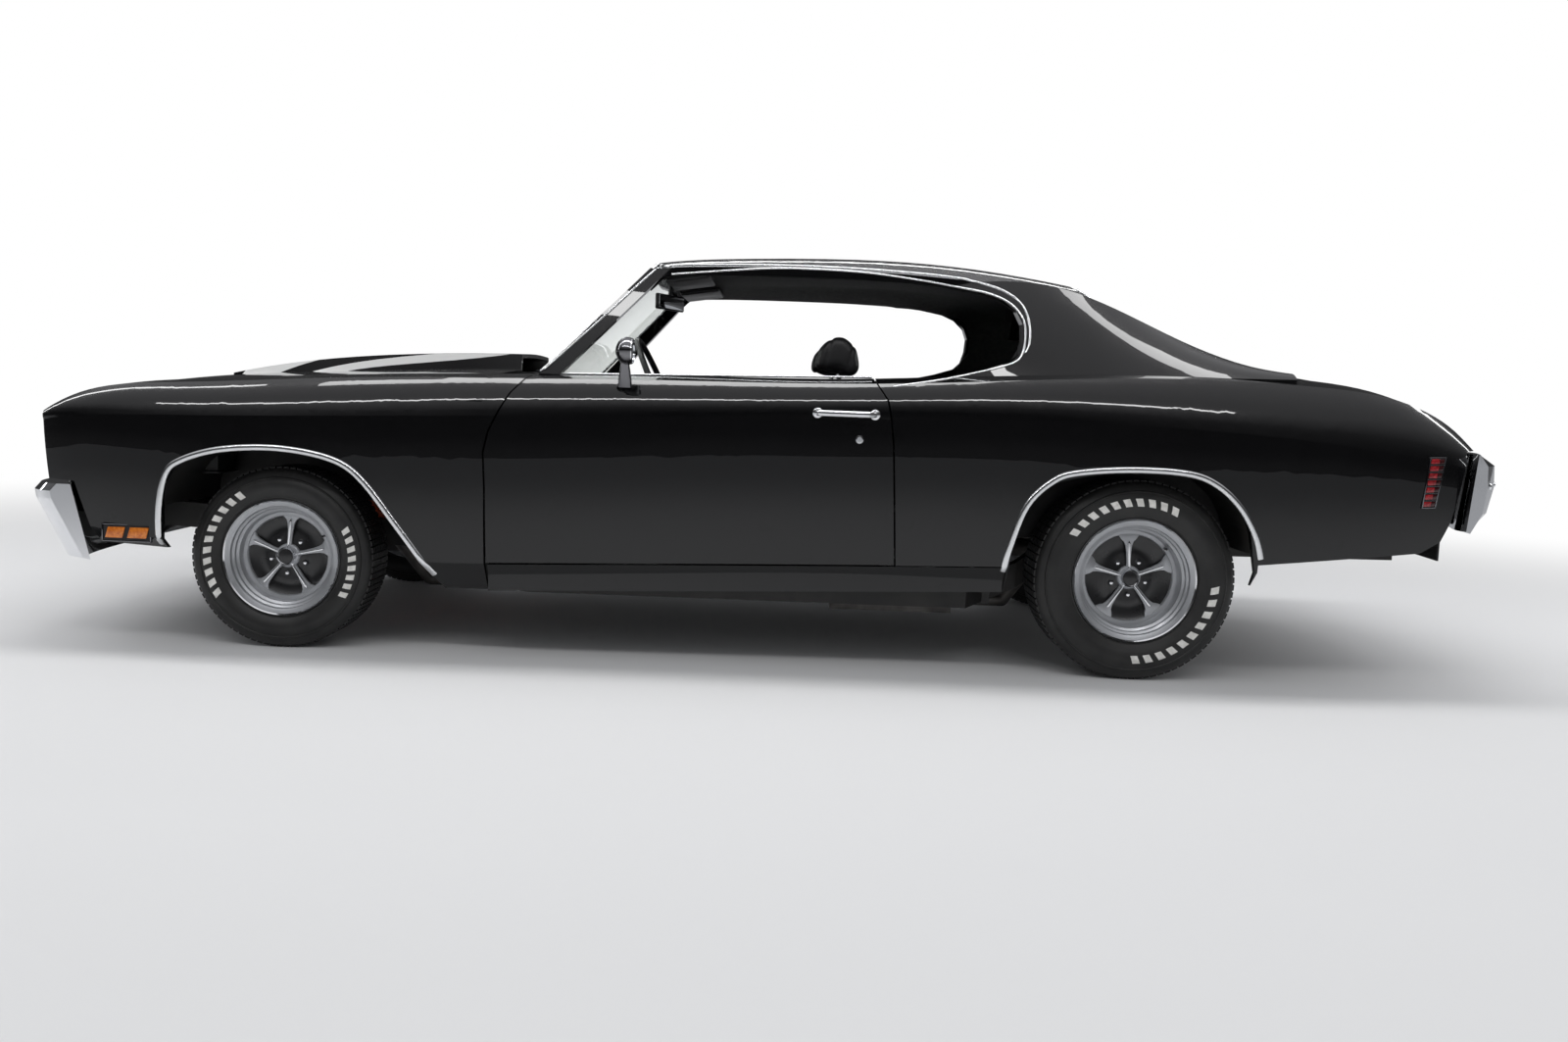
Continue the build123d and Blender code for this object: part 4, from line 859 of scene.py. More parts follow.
trim = {
    # width and height of each moulding's section
    "arch": (0.021, 0.0060),
    "reveal": (0.0075, 0.0036),
    "rail": (0.0085, 0.0060),
    "front": ((1.965, 0.345), (1.960, 0.463), (1.936, 0.573), (1.885, 0.618), (1.772, 0.653), (1.627, 0.665),
              (1.494, 0.655), (1.383, 0.625), (1.306, 0.563), (1.217, 0.447), (1.139, 0.341), (1.090, 0.274)),
    "rear": ((-0.806, 0.360), (-0.820, 0.435), (-0.867, 0.575), (-0.947, 0.657), (-1.029, 0.685),
             (-1.198, 0.699),
             (-1.368, 0.694), (-1.462, 0.662), (-1.541, 0.595), (-1.597, 0.507), (-1.622, 0.432)),
    "window": ((-0.405, 0.955), (-0.587, 0.985), (-0.723, 1.017), (-0.808, 1.044), (-0.836, 1.072),
               (-0.848, 1.120),
               (-0.849, 1.174), (-0.830, 1.217), (-0.790, 1.252), (-0.730, 1.276), (-0.640, 1.292),
               (-0.502, 1.310),
               (-0.325, 1.325), (-0.148, 1.331), (0.028, 1.329), (0.340, 1.302)),
    "drip": ((0.752, 0.962), (0.580, 1.135), (0.404, 1.314), (0.360, 1.331), (0.300, 1.338), (0.0, 1.347),
             (-0.300, 1.346), (-0.600, 1.331), (-0.740, 1.306), (-0.815, 1.274), (-0.856, 1.232),
             (-0.872, 1.176),
             (-0.870, 1.110), (-0.856, 1.076)),
}


def movedOut(line, centre, amount):
    c = Vector(centre)
    out = []
    for p in line:
        away = Vector(p) - c
        out.append(tuple(Vector(p) + away.normalized() * amount))
    return out


# points of a shallow arc seen from above, right to left
def arcPoints(midX, sideX, half, z, count=9):
    sag = midX - sideX
    radius = (half ** 2 + sag ** 2) / (2 * sag)
    cx = midX - radius
    top = math.asin(half / abs(radius)) if abs(radius) >= half else math.pi / 2
    return [(cx + radius * math.cos(-top + 2 * top * i / (count - 1)),
             abs(radius) * math.sin(-top + 2 * top * i / (count - 1)), z) for i in range(count)]


def makeTrim():
    fender = surfaceOf("front_fenders")
    quarter = surfaceOf("quarter_panels", "rockers")
    roofSide = surfaceOf("roof", "quarter_panels")
    for name, line, trees, section in (
        ("archMoulding_front_left", movedOut(trim["front"], (1.58, 0.38), 0.010), fender, trim["arch"]),
        ("archMoulding_rear_left", movedOut(trim["rear"], (-1.22, 0.42), 0.010), quarter, trim["arch"]),
        ("windowReveal_left", movedOut(trim["window"], (-0.25, 1.15), 0.008), roofSide, trim["reveal"]),
        ("dripRail_left", trim["drip"], surfaceOf("roof"), trim["rail"]),
    ):
        mirroredCopy(sideStrip(name, line, trees, *section))
    belt = rope([(0.700, 0.757, 0.950), (0.240, 0.782, 0.9605), (-0.060, 0.783, 0.9685),
                 (-0.345, 0.783, 0.9765)], 0.0038, brightTrim, "beltMoulding_left", body="door_left")
    mirroredCopy(belt, "door_right")
    for name, low, high in (
        ("windshieldReveal", (0.870, 0.770, 0.703, 0.955), (0.458, 0.388, 0.583, 1.343)),
        ("backlightReveal", (-1.530, -1.442, 0.543, 1.066), (-1.112, -1.060, 0.546, 1.307)),
    ):
        lift = 0.004 if low[0] > 0 else -0.004
        loop = arcPoints(*low) + list(reversed(arcPoints(*high)))
        loop = [(x + lift, y, z + 0.002) for x, y, z in loop]
        # the corners are doubled so that the line keeps close to them
        doubled = []
        for i, p in enumerate(loop):
            doubled += [p, p] if i in (0, 8, 9, 17) else [p]
        rope(doubled, 0.0052, brightTrim, name, 4, True)


makeTrim()
print("mouldings made")


# side markers, handles, locks and mirror

markers = {
    # front lamp: bars as x, z corners; rear lamp: corner points of the whole slanted lamp
    "bars": (((2.016, 0.360), (2.078, 0.360), (2.068, 0.396), (2.006, 0.396)),
             ((2.094, 0.360), (2.150, 0.360), (2.140, 0.396), (2.084, 0.396))),
    "rear": ((-2.172, 0.783), (-2.226, 0.785), (-2.198, 0.621), (-2.153, 0.619)),
    "segments": 7,
    "ahead": -2.130,
    "behind": -2.245,
    # x and z of the front lamp's opening, and y of its bezel
    "opening": (2.003, 2.157, 0.352, 0.403),
    "bezel": (0.918, 0.9285, 0.004),
}


# lays what was drawn at y 0 on the flank, as it runs from ahead of the lamp to behind it
def laidOn(obj, trees):
    for v in obj.data.vertices:
        ahead = onFlank(trees, markers["ahead"], v.co.z)[0]
        behind = onFlank(trees, markers["behind"], v.co.z)
        slope = (behind[0].y - ahead.y) / (behind[0].x - ahead.x) if behind else 0.0
        v.co.y += ahead.y + slope * (v.co.x - ahead.x)


def makeMarkers():
    nodes["amber_markers"].data.materials[0] = satinBlack
    bars = [slab(bar, "XZ", 0.9245, 0.0055, 0.0018) for bar in markers["bars"]]
    amber = settle(bars, "amberBars_left", amberLens, 30)
    mirroredCopy(amber)
    x0, x1, z0, z1 = markers["opening"]
    y0, y1, rail = markers["bezel"]
    rails = [roundedBox(x0 - rail, x1 + rail, y0, y1, z, z + rail, 0.0012) for z in (z0 - rail, z1)]
    rails += [roundedBox(x, x + rail, y0, y1, z0 - rail, z1 + rail, 0.0012) for x in (x0 - rail, x1)]
    # the bezel is chrome darkened as a painted dark reflection
    mirroredCopy(settle(rails, "amberBezel_left", chromeWithPaintedDarkReflection, 30))

    flank = surfaceOf("quarter_panels")
    tr, tl, bl, br = [Vector(p) for p in markers["rear"]]
    lenses, ends, louvres = [], [], []
    count = markers["segments"]
    for i in range(count):
        a, b = (i + 0.10) / count, (i + 0.90) / count
        corners = [tr.lerp(br, a), tl.lerp(bl, a), tl.lerp(bl, b), tr.lerp(br, b)]
        middle = sum(corners, Vector((0, 0))) / 4
        corners = [middle + (c - middle) * 0.88 for c in corners]
        # each lens is split where its rear third falls away, and that third is painted a darker red as
        # painted shade
        topCut, lowCut = corners[0].lerp(corners[1], 0.64), corners[3].lerp(corners[2], 0.64)
        lenses.append(slab([tuple(c) for c in (corners[0], topCut, lowCut, corners[3])], "XZ", 0.0, 0.0050,
                           0.0008))
        ends.append(slab([tuple(c) for c in (topCut, corners[1], corners[2], lowCut)], "XZ", 0.0, 0.0042,
                         0.0008))
    for i in range(1, count):
        t = i / count
        a, b = tr.lerp(br, t), tl.lerp(bl, t)
        louvres.append(slab([(a.x, a.y - 0.0010), (b.x, b.y - 0.0010), (b.x, b.y + 0.0010),
                             (a.x, a.y + 0.0010)],
                            "XZ", 0.0, 0.0056, 0.0003))
    for (a, b) in ((tr, tl), (tl, bl), (bl, br), (br, tr)):
        d = (b - a).normalized()
        n = Vector((-d.y, d.x)) * 0.0022
        ring = [a - d * 0.002 + n, b + d * 0.002 + n, b + d * 0.002 - n, a - d * 0.002 - n]
        louvres.append(slab([tuple(p) for p in ring], "XZ", 0.0, 0.0066, 0.0010))
    back = slab([tuple(p) for p in (tr, tl, bl, br)], "XZ", -0.004, 0.0055, 0.0004)
    # the rear thirds of the lenses take the darker red of painted shade
    for name, part, mat in (("redSegments", joined(lenses), redLens), ("redLensEnds", joined(ends), redLensPaintedShade),
                            # the louvres and the lamp's rim are chrome darkened as a painted dark reflection
                            ("redLouvres", joined(louvres), chromeWithPaintedDarkReflection), ("redLampBack", back, satinBlack)):
        laidOn(part, flank)
        lamp = settle(part, name + "_left", mat, 30)
        mirroredCopy(lamp)
        if name == "redLampBack":
            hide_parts("red_markers")


makeMarkers()


handle = {
    "z": 0.854,
    # x and y along the grip, front to rear
    "grip": ((-0.163, 0.922), (-0.166, 0.940), (-0.178, 0.9495), (-0.200, 0.9515), (-0.260, 0.9517),
             (-0.320, 0.9515),
             (-0.340, 0.9495), (-0.353, 0.940), (-0.357, 0.922)),
    "section": (0.0042, 0.0092),    # half thickness, half height of the grip
    "lock": (-0.305, 0.772),
    "gripInside": 0.942,
}
mirror = {
    "centre": (0.466, 0.932, 1.030),
    # distance forward, half width, half height
    "rows": ((-0.024, 0.050, 0.038), (-0.026, 0.055, 0.042), (-0.018, 0.058, 0.0445), (-0.006, 0.059, 0.045),
             (0.008, 0.052, 0.039), (0.018, 0.040, 0.030), (0.025, 0.022, 0.016), (0.0275, 0.006, 0.004)),
    # height, front x, rear x, inner y, outer y
    "foot": ((0.912, 0.494, 0.442, 0.869, 0.903), (0.935, 0.489, 0.444, 0.874, 0.906),
             (0.965, 0.484, 0.448, 0.883, 0.914), (0.995, 0.480, 0.452, 0.894, 0.924)),
}


# closed shell through rings of points
def skinned(rings, name):
    count = len(rings[0])
    ends = [tuple(range(count)), tuple((len(rings) - 1) * count + k for k in range(count))]
    obj = fromPoints(name, [p for ring in rings for p in ring], ends + quadsBetween(len(rings), count, True))
    faceOutward()
    return obj


def makeDoorHardware():
    door = surfaceOf("door_left")
    lockX, lockZ = handle["lock"]
    y = onFlank(door, lockX, lockZ)[0].y
    lock = spun([(0, -0.004), (0.0135, -0.004), (0.0135, 0.001), (0.012, 0.0030), (0.0085, 0.0035),
                 (0.008, 0.0022), (0.0015, 0.0022), (0.0015, 0.0008), (0, 0.0008)], (lockX, y, lockZ), "Y",
                32)
    line = smoothLine([(x, y, 0) for x, y in handle["grip"]], 5)
    thin, tall = handle["section"]
    rings = []
    for i, p in enumerate(line):
        ahead = (line[min(i + 1, len(line) - 1)] - line[max(i - 1, 0)]).normalized()
        side = Vector((-ahead.y, ahead.x, 0))
        rings.append([(p.x + side.x * thin * math.cos(a), p.y + side.y * thin * math.cos(a),
                       handle["z"] + tall * math.sin(a)) for a in roundAngles(12)])
    grip = skinned(rings, "grip")
    button = spun([(0, -0.004), (0.0105, -0.004), (0.0105, 0.0005), (0.0090, 0.0024), (0, 0.0028)],
                  (-0.341, 0.9525, handle["z"]), "Y", 32)
    plates = []
    for x in (-0.166, -0.352):
        foot = onFlank(door, x, handle["z"])[0].y
        plates.append(spun([(0, -0.006), (0.0165, -0.006), (0.0165, 0.0005), (0.0140, 0.0024), (0, 0.0028)],
                           (x, foot, handle["z"]), "Y", 32))
        reach = handle["gripInside"]
        plates.append(tube(x, (foot + reach) / 2, handle["z"], 0.0062, reach - foot, "Y", 20, 0.001))
    hardware = settle([lock, grip, button] + plates, "doorHandle_left", chrome, 40, "door_left")
    other = mirroredCopy(hardware, "door_right")
    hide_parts("door_handle_right")

    cx, cy, cz = mirror["centre"]
    rings = [[(cx + dx, cy + w * math.cos(a), cz + h * math.sin(a)) for a in roundAngles(32)]
             for dx, w, h in mirror["rows"]]
    head = skinned(rings, "mirrorHead")
    rings = []
    for z, x0, x1, y0, y1 in mirror["foot"]:
        mx, my, hx, hy = (x0 + x1) / 2, (y0 + y1) / 2, (x0 - x1) / 2, (y1 - y0) / 2
        rings.append([(mx + hx * math.cos(a), my + hy * math.sin(a), z) for a in roundAngles(16)])
    foot = skinned(rings, "mirrorFoot")
    rim = spun([(0.975, -0.0005), (1.0, 0.002), (1.02, 0.006), (1.0, 0.010), (0.975, -0.0005)], (0, 0, 0),
               "X", 48)
    rim.data.transform(Matrix.Translation((cx - 0.0285, cy, cz)) @ Matrix.Diagonal((1, 0.054, 0.041, 1)))
    # the mirror's shell is chrome darkened as a painted dark reflection, round a bright chrome rim
    shell = settle([head, foot], "mirrorShell", chromeWithPaintedDarkReflection, 50, "door_left")
    settle(rim, "mirrorRim", chrome, 40, "door_left")
    glass = spun([(0, -0.0008), (0.90, -0.0008), (0.96, 0.0004), (0, 0.0030)], (0, 0, 0), "X", 48)
    glass.data.transform(Matrix.Translation((cx - 0.0262, cy, cz)) @ Matrix.Diagonal((1, 0.054, 0.041, 1)))
    settle(glass, "mirrorGlass", mirrorFace, 30, "door_left")
    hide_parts("door_fittings_left")


makeDoorHardware()
print("markers and door hardware made")


# nose: lamps, grille, bumper details

nose = {
    "lamps": ((0.762, 0.645), (0.590, 0.645)),
    "parkLamp": (0.560, 0.395),     # y and z of the lamp in the bumper
    # y and z of the bolts on the bumpers' faces, x and z of those on the rear bumper's ends
    "frontBolts": ((0.26, 0.495), (0.70, 0.495)),
    "rearBolts": ((0.30, 0.60), (0.84, 0.70)),
    "endBolt": (-2.375, 0.697),
}


def noseX(y):
    return 2.452 - 0.057 * (y / 0.6997) ** 2


def makeHeadlamps():
    rings, ribs, bowls = [], [], []
    for y, z in nose["lamps"]:
        x = noseX(y) - 0.034 - 0.010
        rings.append(spun([(0.0690, -0.004), (0.0715, 0.008), (0.0775, 0.0125), (0.0815, 0.009),
                           (0.0825, -0.004),
                           (0.0825, -0.012), (0.0690, -0.012), (0.0690, -0.004)], (x, y, z), "X", 64))
        for k in range(-5, 6):
            offset = k * 0.0115
            tall = math.sqrt(max(0.069 ** 2 - offset ** 2, 0)) * 0.94
            ribs.append(roundedBox(x - 0.0005, x + 0.0012, y + offset - 0.0009, y + offset + 0.0009, z - tall,
                                   z + tall,
                                   0.0004, 1))
        bowls.append(spun([(0.0, -0.052), (0.030, -0.050), (0.055, -0.034), (0.0675, -0.006),
                           (0.0672, -0.004),
                           (0.054, -0.032), (0.030, -0.048), (0.0, -0.050)], (x, y, z), "X", 48))
    mirroredCopy(settle(rings, "lampRings_left", chrome, 30))
    mirroredCopy(settle(ribs, "lampRibs_left", lampGlass, 0))
    mirroredCopy(settle(bowls, "lampBowls_left", chrome, 30))


def makeGrille():
    slats = []
    for i in range(33):
        y = -0.480 + 0.030 * i
        x = noseX(y)
        slats.append(roundedBox(x - 0.066, x - 0.044, y - 0.0012, y + 0.0012, 0.560, 0.724, 0.0004, 1))
    settle(slats, "grilleSlats", satinBlack, 0)
    edge = []
    for z in (0.6385, 0.6500):
        line = [(noseX(y) - 0.0235, y, z) for y in [-0.497 + 0.1105 * k for k in range(10)]]
        edge.append(rope(line, 0.0016, brightTrim, "barEdge", 3))
    settle(edge, "grilleBarEdges", brightTrim, 50)
    line = [(noseX(y) - 0.0060, y, 0.7340) for y in [-0.69 + 0.138 * k for k in range(11)]]
    rope(line, 0.0032, brightTrim, "noseMoulding")


# bolt head on the surface that a ray hits, turned to face back along it
def boltHead(tree, start, direction, profile, axis, steps):
    point, normal = landOn(tree, start, direction)[:2]
    if normal.dot(Vector(direction)) > 0:
        normal = -normal
    head = spun(profile, (0, 0, 0), axis, steps)
    along = Vector((1, 0, 0)) if axis == "X" else Vector((0, 1, 0))
    turn = along.rotation_difference(normal).to_matrix().to_4x4()
    head.data.transform(Matrix.Translation(point) @ turn)
    return head


def makeBumperDetails():
    front, back = surfaceOf("front_bumper"), surfaceOf("rear_bumper")
    faceBolt = ((0, 0.0045), (0.006, 0.0035), (0.0095, 0.0), (0.0095, -0.004), (0, -0.004))
    endBolt = ((0, 0.0050), (0.007, 0.0040), (0.0110, 0.0), (0.0110, -0.004), (0, -0.004))
    bolts = []
    for tree, start, push, spots in ((front, 3.0, -1, nose["frontBolts"]),
                                     (back, -3.0, 1, nose["rearBolts"])):
        for y, z in spots:
            for side in (1, -1):
                bolts.append(boltHead(tree, (start, side * y, z), (push, 0, 0), faceBolt, "X", 20))
    x, z = nose["endBolt"]
    for side in (1, -1):
        bolts.append(boltHead(back, (x, side * beside, z), (0, -side, 0), endBolt, "Y", 24))
    settle(bolts, "bumperBolts", chrome, 40)
    py, pz = nose["parkLamp"]
    for side, suffix in ((1, "left"), (-1, "right")):
        y0, y1 = sorted((side * (py - 0.085), side * (py + 0.085)))
        x = landOn(front, (3.0, side * py, pz), (-1, 0, 0))[0].x
        lens = roundedBox(x - 0.010, x + 0.003, y0 + 0.008, y1 - 0.008, pz - 0.022, pz + 0.022, 0.006, 3)
        rim = roundedBox(x - 0.014, x - 0.0015, y0, y1, pz - 0.031, pz + 0.031, 0.008, 3)
        for part in (lens, rim):
            part.data.transform(turnAbout((x, side * py, pz), math.radians(28), "Y"))
        settle(lens, "parkLens_" + suffix, amberLens, 30)
        settle(rim, "parkRim_" + suffix, brightTrim, 30)


makeHeadlamps()
makeGrille()
makeBumperDetails()
print("nose made")


# seats: padded forms

seat = {
    "side": 0.400,          # distance of the seat's middle from the centreline
    "pressure": 4.0,        # of the cloth that swells each form, with the frames it takes
    "frames": 20,
    # x, z outlines, a little inside the finished size
    "cushion": ((-0.118, 0.394), (-0.134, 0.500), (-0.060, 0.524), (0.320, 0.553), (0.378, 0.526),
                (0.384, 0.412),
                (0.300, 0.394)),
    "back": ((-0.078, 0.560), (-0.180, 0.560), (-0.316, 0.898), (-0.306, 0.950), (-0.242, 0.958),
             (-0.186, 0.898)),
    "rest": ((-0.158, 1.000), (-0.176, 1.078), (-0.214, 1.116), (-0.262, 1.120), (-0.304, 1.078),
             (-0.318, 1.014),
             (-0.306, 0.976), (-0.268, 0.984), (-0.236, 0.998)),
    "halfCushion": 0.226,
    "halfBack": 0.222,
    "halfRest": 0.128,
    "pleats": (-0.105, -0.053, 0.0, 0.053, 0.105),
    "bolster": 0.152,
    "seamWidth": 0.010,
    # fill of a firm seat and of its head restraint
    "fill": 0.7,
    "restFill": 0.85,
    "shield": ((-0.165, 0.455), (-0.060, 0.455), (-0.052, 0.520), (-0.100, 0.640), (-0.150, 0.640),
               (-0.190, 0.560)),
    "screw": ((0, 0.0050), (0.010, 0.0040), (0.0140, 0.0), (0.0140, -0.003), (0, -0.003)),
}
bench = {
    "cushion": ((-0.482, 0.478), (-0.850, 0.508), (-0.912, 0.552), (-0.490, 0.586), (-0.440, 0.556),
                (-0.444, 0.482)),
    "back": ((-0.932, 0.584), (-1.052, 0.604), (-1.160, 0.920), (-1.088, 0.936), (-1.024, 0.892),
             (-0.890, 0.588)),
    "half": 0.545,
    "piping": 0.528,
    "flute": 0.013,
}


# 1 on a line, falling to 0 at its width
def nearLine(distance, width):
    return max(0.0, 1.0 - abs(distance) / width)


# swells a closed form between the seams that hold it
def padOut(obj, name, mat, seams, fill, voxel, cap, soften=6, sink=0.009):
    pick(obj)
    grid = obj.modifiers.new("grid", "REMESH")
    grid.mode = "VOXEL"
    grid.voxel_size = voxel
    bpy.ops.object.modifier_apply(modifier=grid.name)
    even = obj.modifiers.new("even", "SMOOTH")
    even.factor = 0.5
    even.iterations = soften
    bpy.ops.object.modifier_apply(modifier=even.name)
    mesh = obj.data
    held = obj.vertex_groups.new(name="held")
    depth = [seams(v.co, v.normal) for v in mesh.vertices]
    pulled = [v.co - v.normal * sink * d for v, d in zip(mesh.vertices, depth)]
    for v, p, d in zip(mesh.vertices, pulled, depth):
        v.co = p
        if d > 0.5:
            held.add([v.index], 1.0, "REPLACE")
    swell = obj.modifiers.new("swell", "CLOTH")
    swell.settings.use_pressure = True
    swell.settings.uniform_pressure_force = seat["pressure"]
    swell.settings.effector_weights.gravity = 0
    swell.settings.vertex_group_mass = "held"
    swell.settings.quality = 5
    swell.point_cache.frame_start = 1
    swell.point_cache.frame_end = seat["frames"]
    for step in range(1, seat["frames"] + 1):
        scene.frame_set(step)
    shaped = obj.evaluated_get(bpy.context.evaluated_depsgraph_get())
    moved = [v.co.copy() for v in shaped.data.vertices]
    obj.modifiers.remove(swell)
    for v, p, rest in zip(mesh.vertices, moved, pulled):
        move = p - rest
        if move.length > cap:
            move = move.normalized() * cap
        v.co = rest + move
    scene.frame_set(1)
    finer = obj.modifiers.new("finer", "SUBSURF")
    finer.levels = 1
    finer.render_levels = 1
    bpy.ops.object.modifier_apply(modifier=finer.name)
    obj.vertex_groups.clear()
    pad = settle(obj, name, mat, 60)
    return pad


# where a seat's seams run, as 1 on a seam and 0 away from it
def cushionSeams(p, n):
    y = abs(p.y - seat["side"])
    within = y < seat["bolster"]
    seams = [nearLine(y - 0.214, seat["seamWidth"])]
    if n.z > 0.3:
        seams.append(nearLine(y - seat["bolster"], 0.011))
    if n.z > 0.5 and -0.06 < p.x < 0.300 and within:
        seams += [nearLine(p.y - seat["side"] - at, seat["seamWidth"]) for at in seat["pleats"]]
    if n.z > 0.4 and within:
        seams.append(nearLine(p.x - 0.306, 0.012))
    return max(seams)


def backSeams(p, n):
    y = abs(p.y - seat["side"])
    within = y < seat["bolster"]
    seams = [nearLine(y - 0.210, seat["seamWidth"])]
    if n.x > 0.3:
        seams.append(nearLine(y - seat["bolster"], 0.011))
    if n.x > 0.4 and p.z < 0.86 and within:
        seams += [nearLine(p.y - seat["side"] - at, seat["seamWidth"]) for at in seat["pleats"]]
    if n.x > 0.3 and within:
        seams.append(nearLine(p.z - 0.866, 0.012))
    return max(seams)


# two seams round the head restraint, counted from its leaning front
def restSeams(p, n):
    behind = (p.x + 0.158) * 0.974 + (p.z - 1.000) * 0.225
    return max(nearLine(behind + 0.030, 0.007), nearLine(behind + 0.112, 0.006) * 0.6)


def makeBucketSeats():
    middle = seat["side"]

    def pad(outline, half, bevel, name, *how):
        form = slab(seat[outline], "XZ", middle - seat[half], 2 * seat[half], bevel)
        return padOut(form, name, blackVinyl, *how)

    cushion = pad("cushion", "halfCushion", 0.022, "bucketCushion_left", cushionSeams, seat["fill"], 0.0125,
                  0.016)
    back = pad("back", "halfBack", 0.022, "bucketBack_left", backSeams, seat["fill"], 0.0125, 0.014)
    rest = pad("rest", "halfRest", 0.028, "headRest_left", restSeams, seat["restFill"], 0.0068, 0.013, 10,
               0.005)
    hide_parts("bucket_seats")
    for obj, fill in ((cushion, seat["fill"]), (back, seat["fill"]), (rest, seat["restFill"])):
        mirroredCopy(obj)
    posts = [tube(-0.250, y, 0.978, 0.0070, 0.070, "Z", 20, 0.001) for y in (middle - 0.05, middle + 0.05)]
    shields = []
    for side in (-1, 1):
        y0, y1 = sorted((middle + side * 0.232, middle + side * 0.243))
        shields.append(slab(seat["shield"], "XZ", y0, y1 - y0, 0.003))
        # a recliner screw whose head faces away from the seat's middle
        screw = [(r, side * a) for r, a in seat["screw"]]
        posts.append(spun(screw, (-0.120, middle + side * 0.2435, 0.560), "Y", 24))
    mirroredCopy(settle(posts, "seatBright_left", chrome, 30))
    mirroredCopy(settle(shields, "seatShields_left", satinBlack, 30))


def makeRearSeat():
    lines = [side * (0.16 + 0.066 * k) for side in (-1, 1) for k in range(6)]

    def fluted(y, crossing, onTop, onFace):
        seams = [nearLine(abs(y) - bench["piping"], 0.012)]
        if onTop:
            seams += [nearLine(y - at, bench["flute"]) for at in lines]
        if onFace and 0.15 < abs(y) < 0.50:
            seams.append(nearLine(crossing, 0.014))
        return max(seams)

    def cushionLines(p, n):
        return fluted(p.y, p.x + 0.515, n.z > 0.5 and p.x < -0.52, n.z > 0.4)

    def backLines(p, n):
        return fluted(p.y, p.z - 0.868, n.x > 0.4 and p.z < 0.86, n.x > 0.3)

    for outline, name, seams in (("cushion", "rearCushion", cushionLines), ("back", "rearBack", backLines)):
        form = slab(bench[outline], "XZ", -bench["half"], 2 * bench["half"], 0.020)
        pad = padOut(form, name, blackVinyl, seams, seat["fill"], 0.0165, 0.014)
        if outline == "cushion":
            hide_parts("rear_seat")


makeBucketSeats()
makeRearSeat()
print("seats made")


# cabin trim

cabin = {
    "doorTrim": ((-0.402, 0.420), (0.792, 0.420), (0.812, 0.500), (0.800, 0.846), (0.688, 0.858),
                 (0.682, 0.936),
                 (0.200, 0.944), (-0.402, 0.956)),
    "trimLevel": 0.7565,
    "trimThick": 0.012,
    "sideTrim": ((-0.428, 0.470), (-0.900, 0.500), (-1.168, 0.560), (-1.168, 0.944), (-0.428, 0.944)),
    # headlining: first and last x and number of rows, number of columns, height that its rays start
    # from, least and greatest tilt in degrees, the farthest roof they may meet, and the gap left to it
    "headRows": (-1.03, 0.42, 30),
    "headColumns": 37,
    "headEye": 1.12,
    "headReach": (60, 86),
    "headFarthest": 0.70,
    "headGap": 0.011,
    # sail panel: lowest line, step and number of lines; first ray's x, step and number of rays;
    # points of a line; gap left to the roof
    "sailLines": (0.966, 0.030, 8),
    "sailRays": (-0.82, -0.02, 32),
    "sailPoints": 16,
    "sailGap": 0.014,
    # floor carpet: level of the flat floor, first x, step and number of rows
    "floorLevel": 0.301,
    "floorRows": (-0.425, 0.0498, 28),
    "pile": 0.006,
}


# sheet through rows of points, thickened on one side
def sheetOf(rows, name, mat, thick, smooth=50):
    width = len(rows[0])
    obj = fromPoints(name, [p for row in rows for p in row], quadsBetween(len(rows), width))
    wall = obj.modifiers.new("wall", "SOLIDIFY")
    wall.thickness = thick
    wall.offset = 0
    bpy.ops.object.modifier_apply(modifier=wall.name)
    faceOutward()
    return settle(obj, name, mat, smooth)


# upward direction, tilted to the left by degrees
def tilted(degrees):
    a = math.radians(degrees)
    return Vector((0, math.sin(a), math.cos(a)))


def makeHeadliner():
    roofTree = surfaceOf("roof")
    first, last, count = cabin["headRows"]
    columns = cabin["headColumns"]
    least, most = cabin["headReach"]
    rows = []
    for i in range(count):
        x = first + (last - first) * i / (count - 1)
        eye = Vector((x, 0, cabin["headEye"]))
        reach = least
        while reach < most:
            hit = landOn(roofTree, eye, tilted(reach + 1))
            if hit is None or hit[2] > cabin["headFarthest"]:
                break
            reach += 1
        row = []
        for k in range(columns):
            hit = landOn(roofTree, eye, tilted(-reach + 2 * reach * k / (columns - 1)))
            row.append(hit[0] + (eye - hit[0]).normalized() * cabin["headGap"])
        rows.append(row)
    liner = sheetOf(rows, "headliner", headCloth, 0.003)


# the inner sail panels, from the window's rear edge back to where the rear glass begins
def makeSailLinings():
    both = surfaceOf("roof", "quarter_panels")
    low, rise, lines = cabin["sailLines"]
    start, stride, rays = cabin["sailRays"]
    count = cabin["sailPoints"]
    for side, suffix in ((1, "left"), (-1, "right")):
        columns = []
        for k in range(lines):
            z = low + rise * k
            hits = []
            for i in range(rays):
                hit = landOn(both, (start + stride * i, side * 0.30, z), (0, side, 0))
                solid = hit is not None and 0.40 < abs(hit[0].y) < 0.82
                if hits and not solid:
                    break
                if solid:
                    hits.append(hit[0])
            if len(hits) < 5:
                continue
            hits = hits[:-2]
            column = []
            for i in range(count):
                at = i * (len(hits) - 1) / (count - 1)
                before = min(int(at), len(hits) - 2)
                p = hits[before].lerp(hits[before + 1], at - before)
                column.append(Vector((p.x, side * (abs(p.y) - cabin["sailGap"]), z)))
            columns.append(column)
        rows = [[column[i] for column in columns] for i in range(count)]
        lining = sheetOf(rows, "sailLining_" + suffix, headCloth, 0.003)


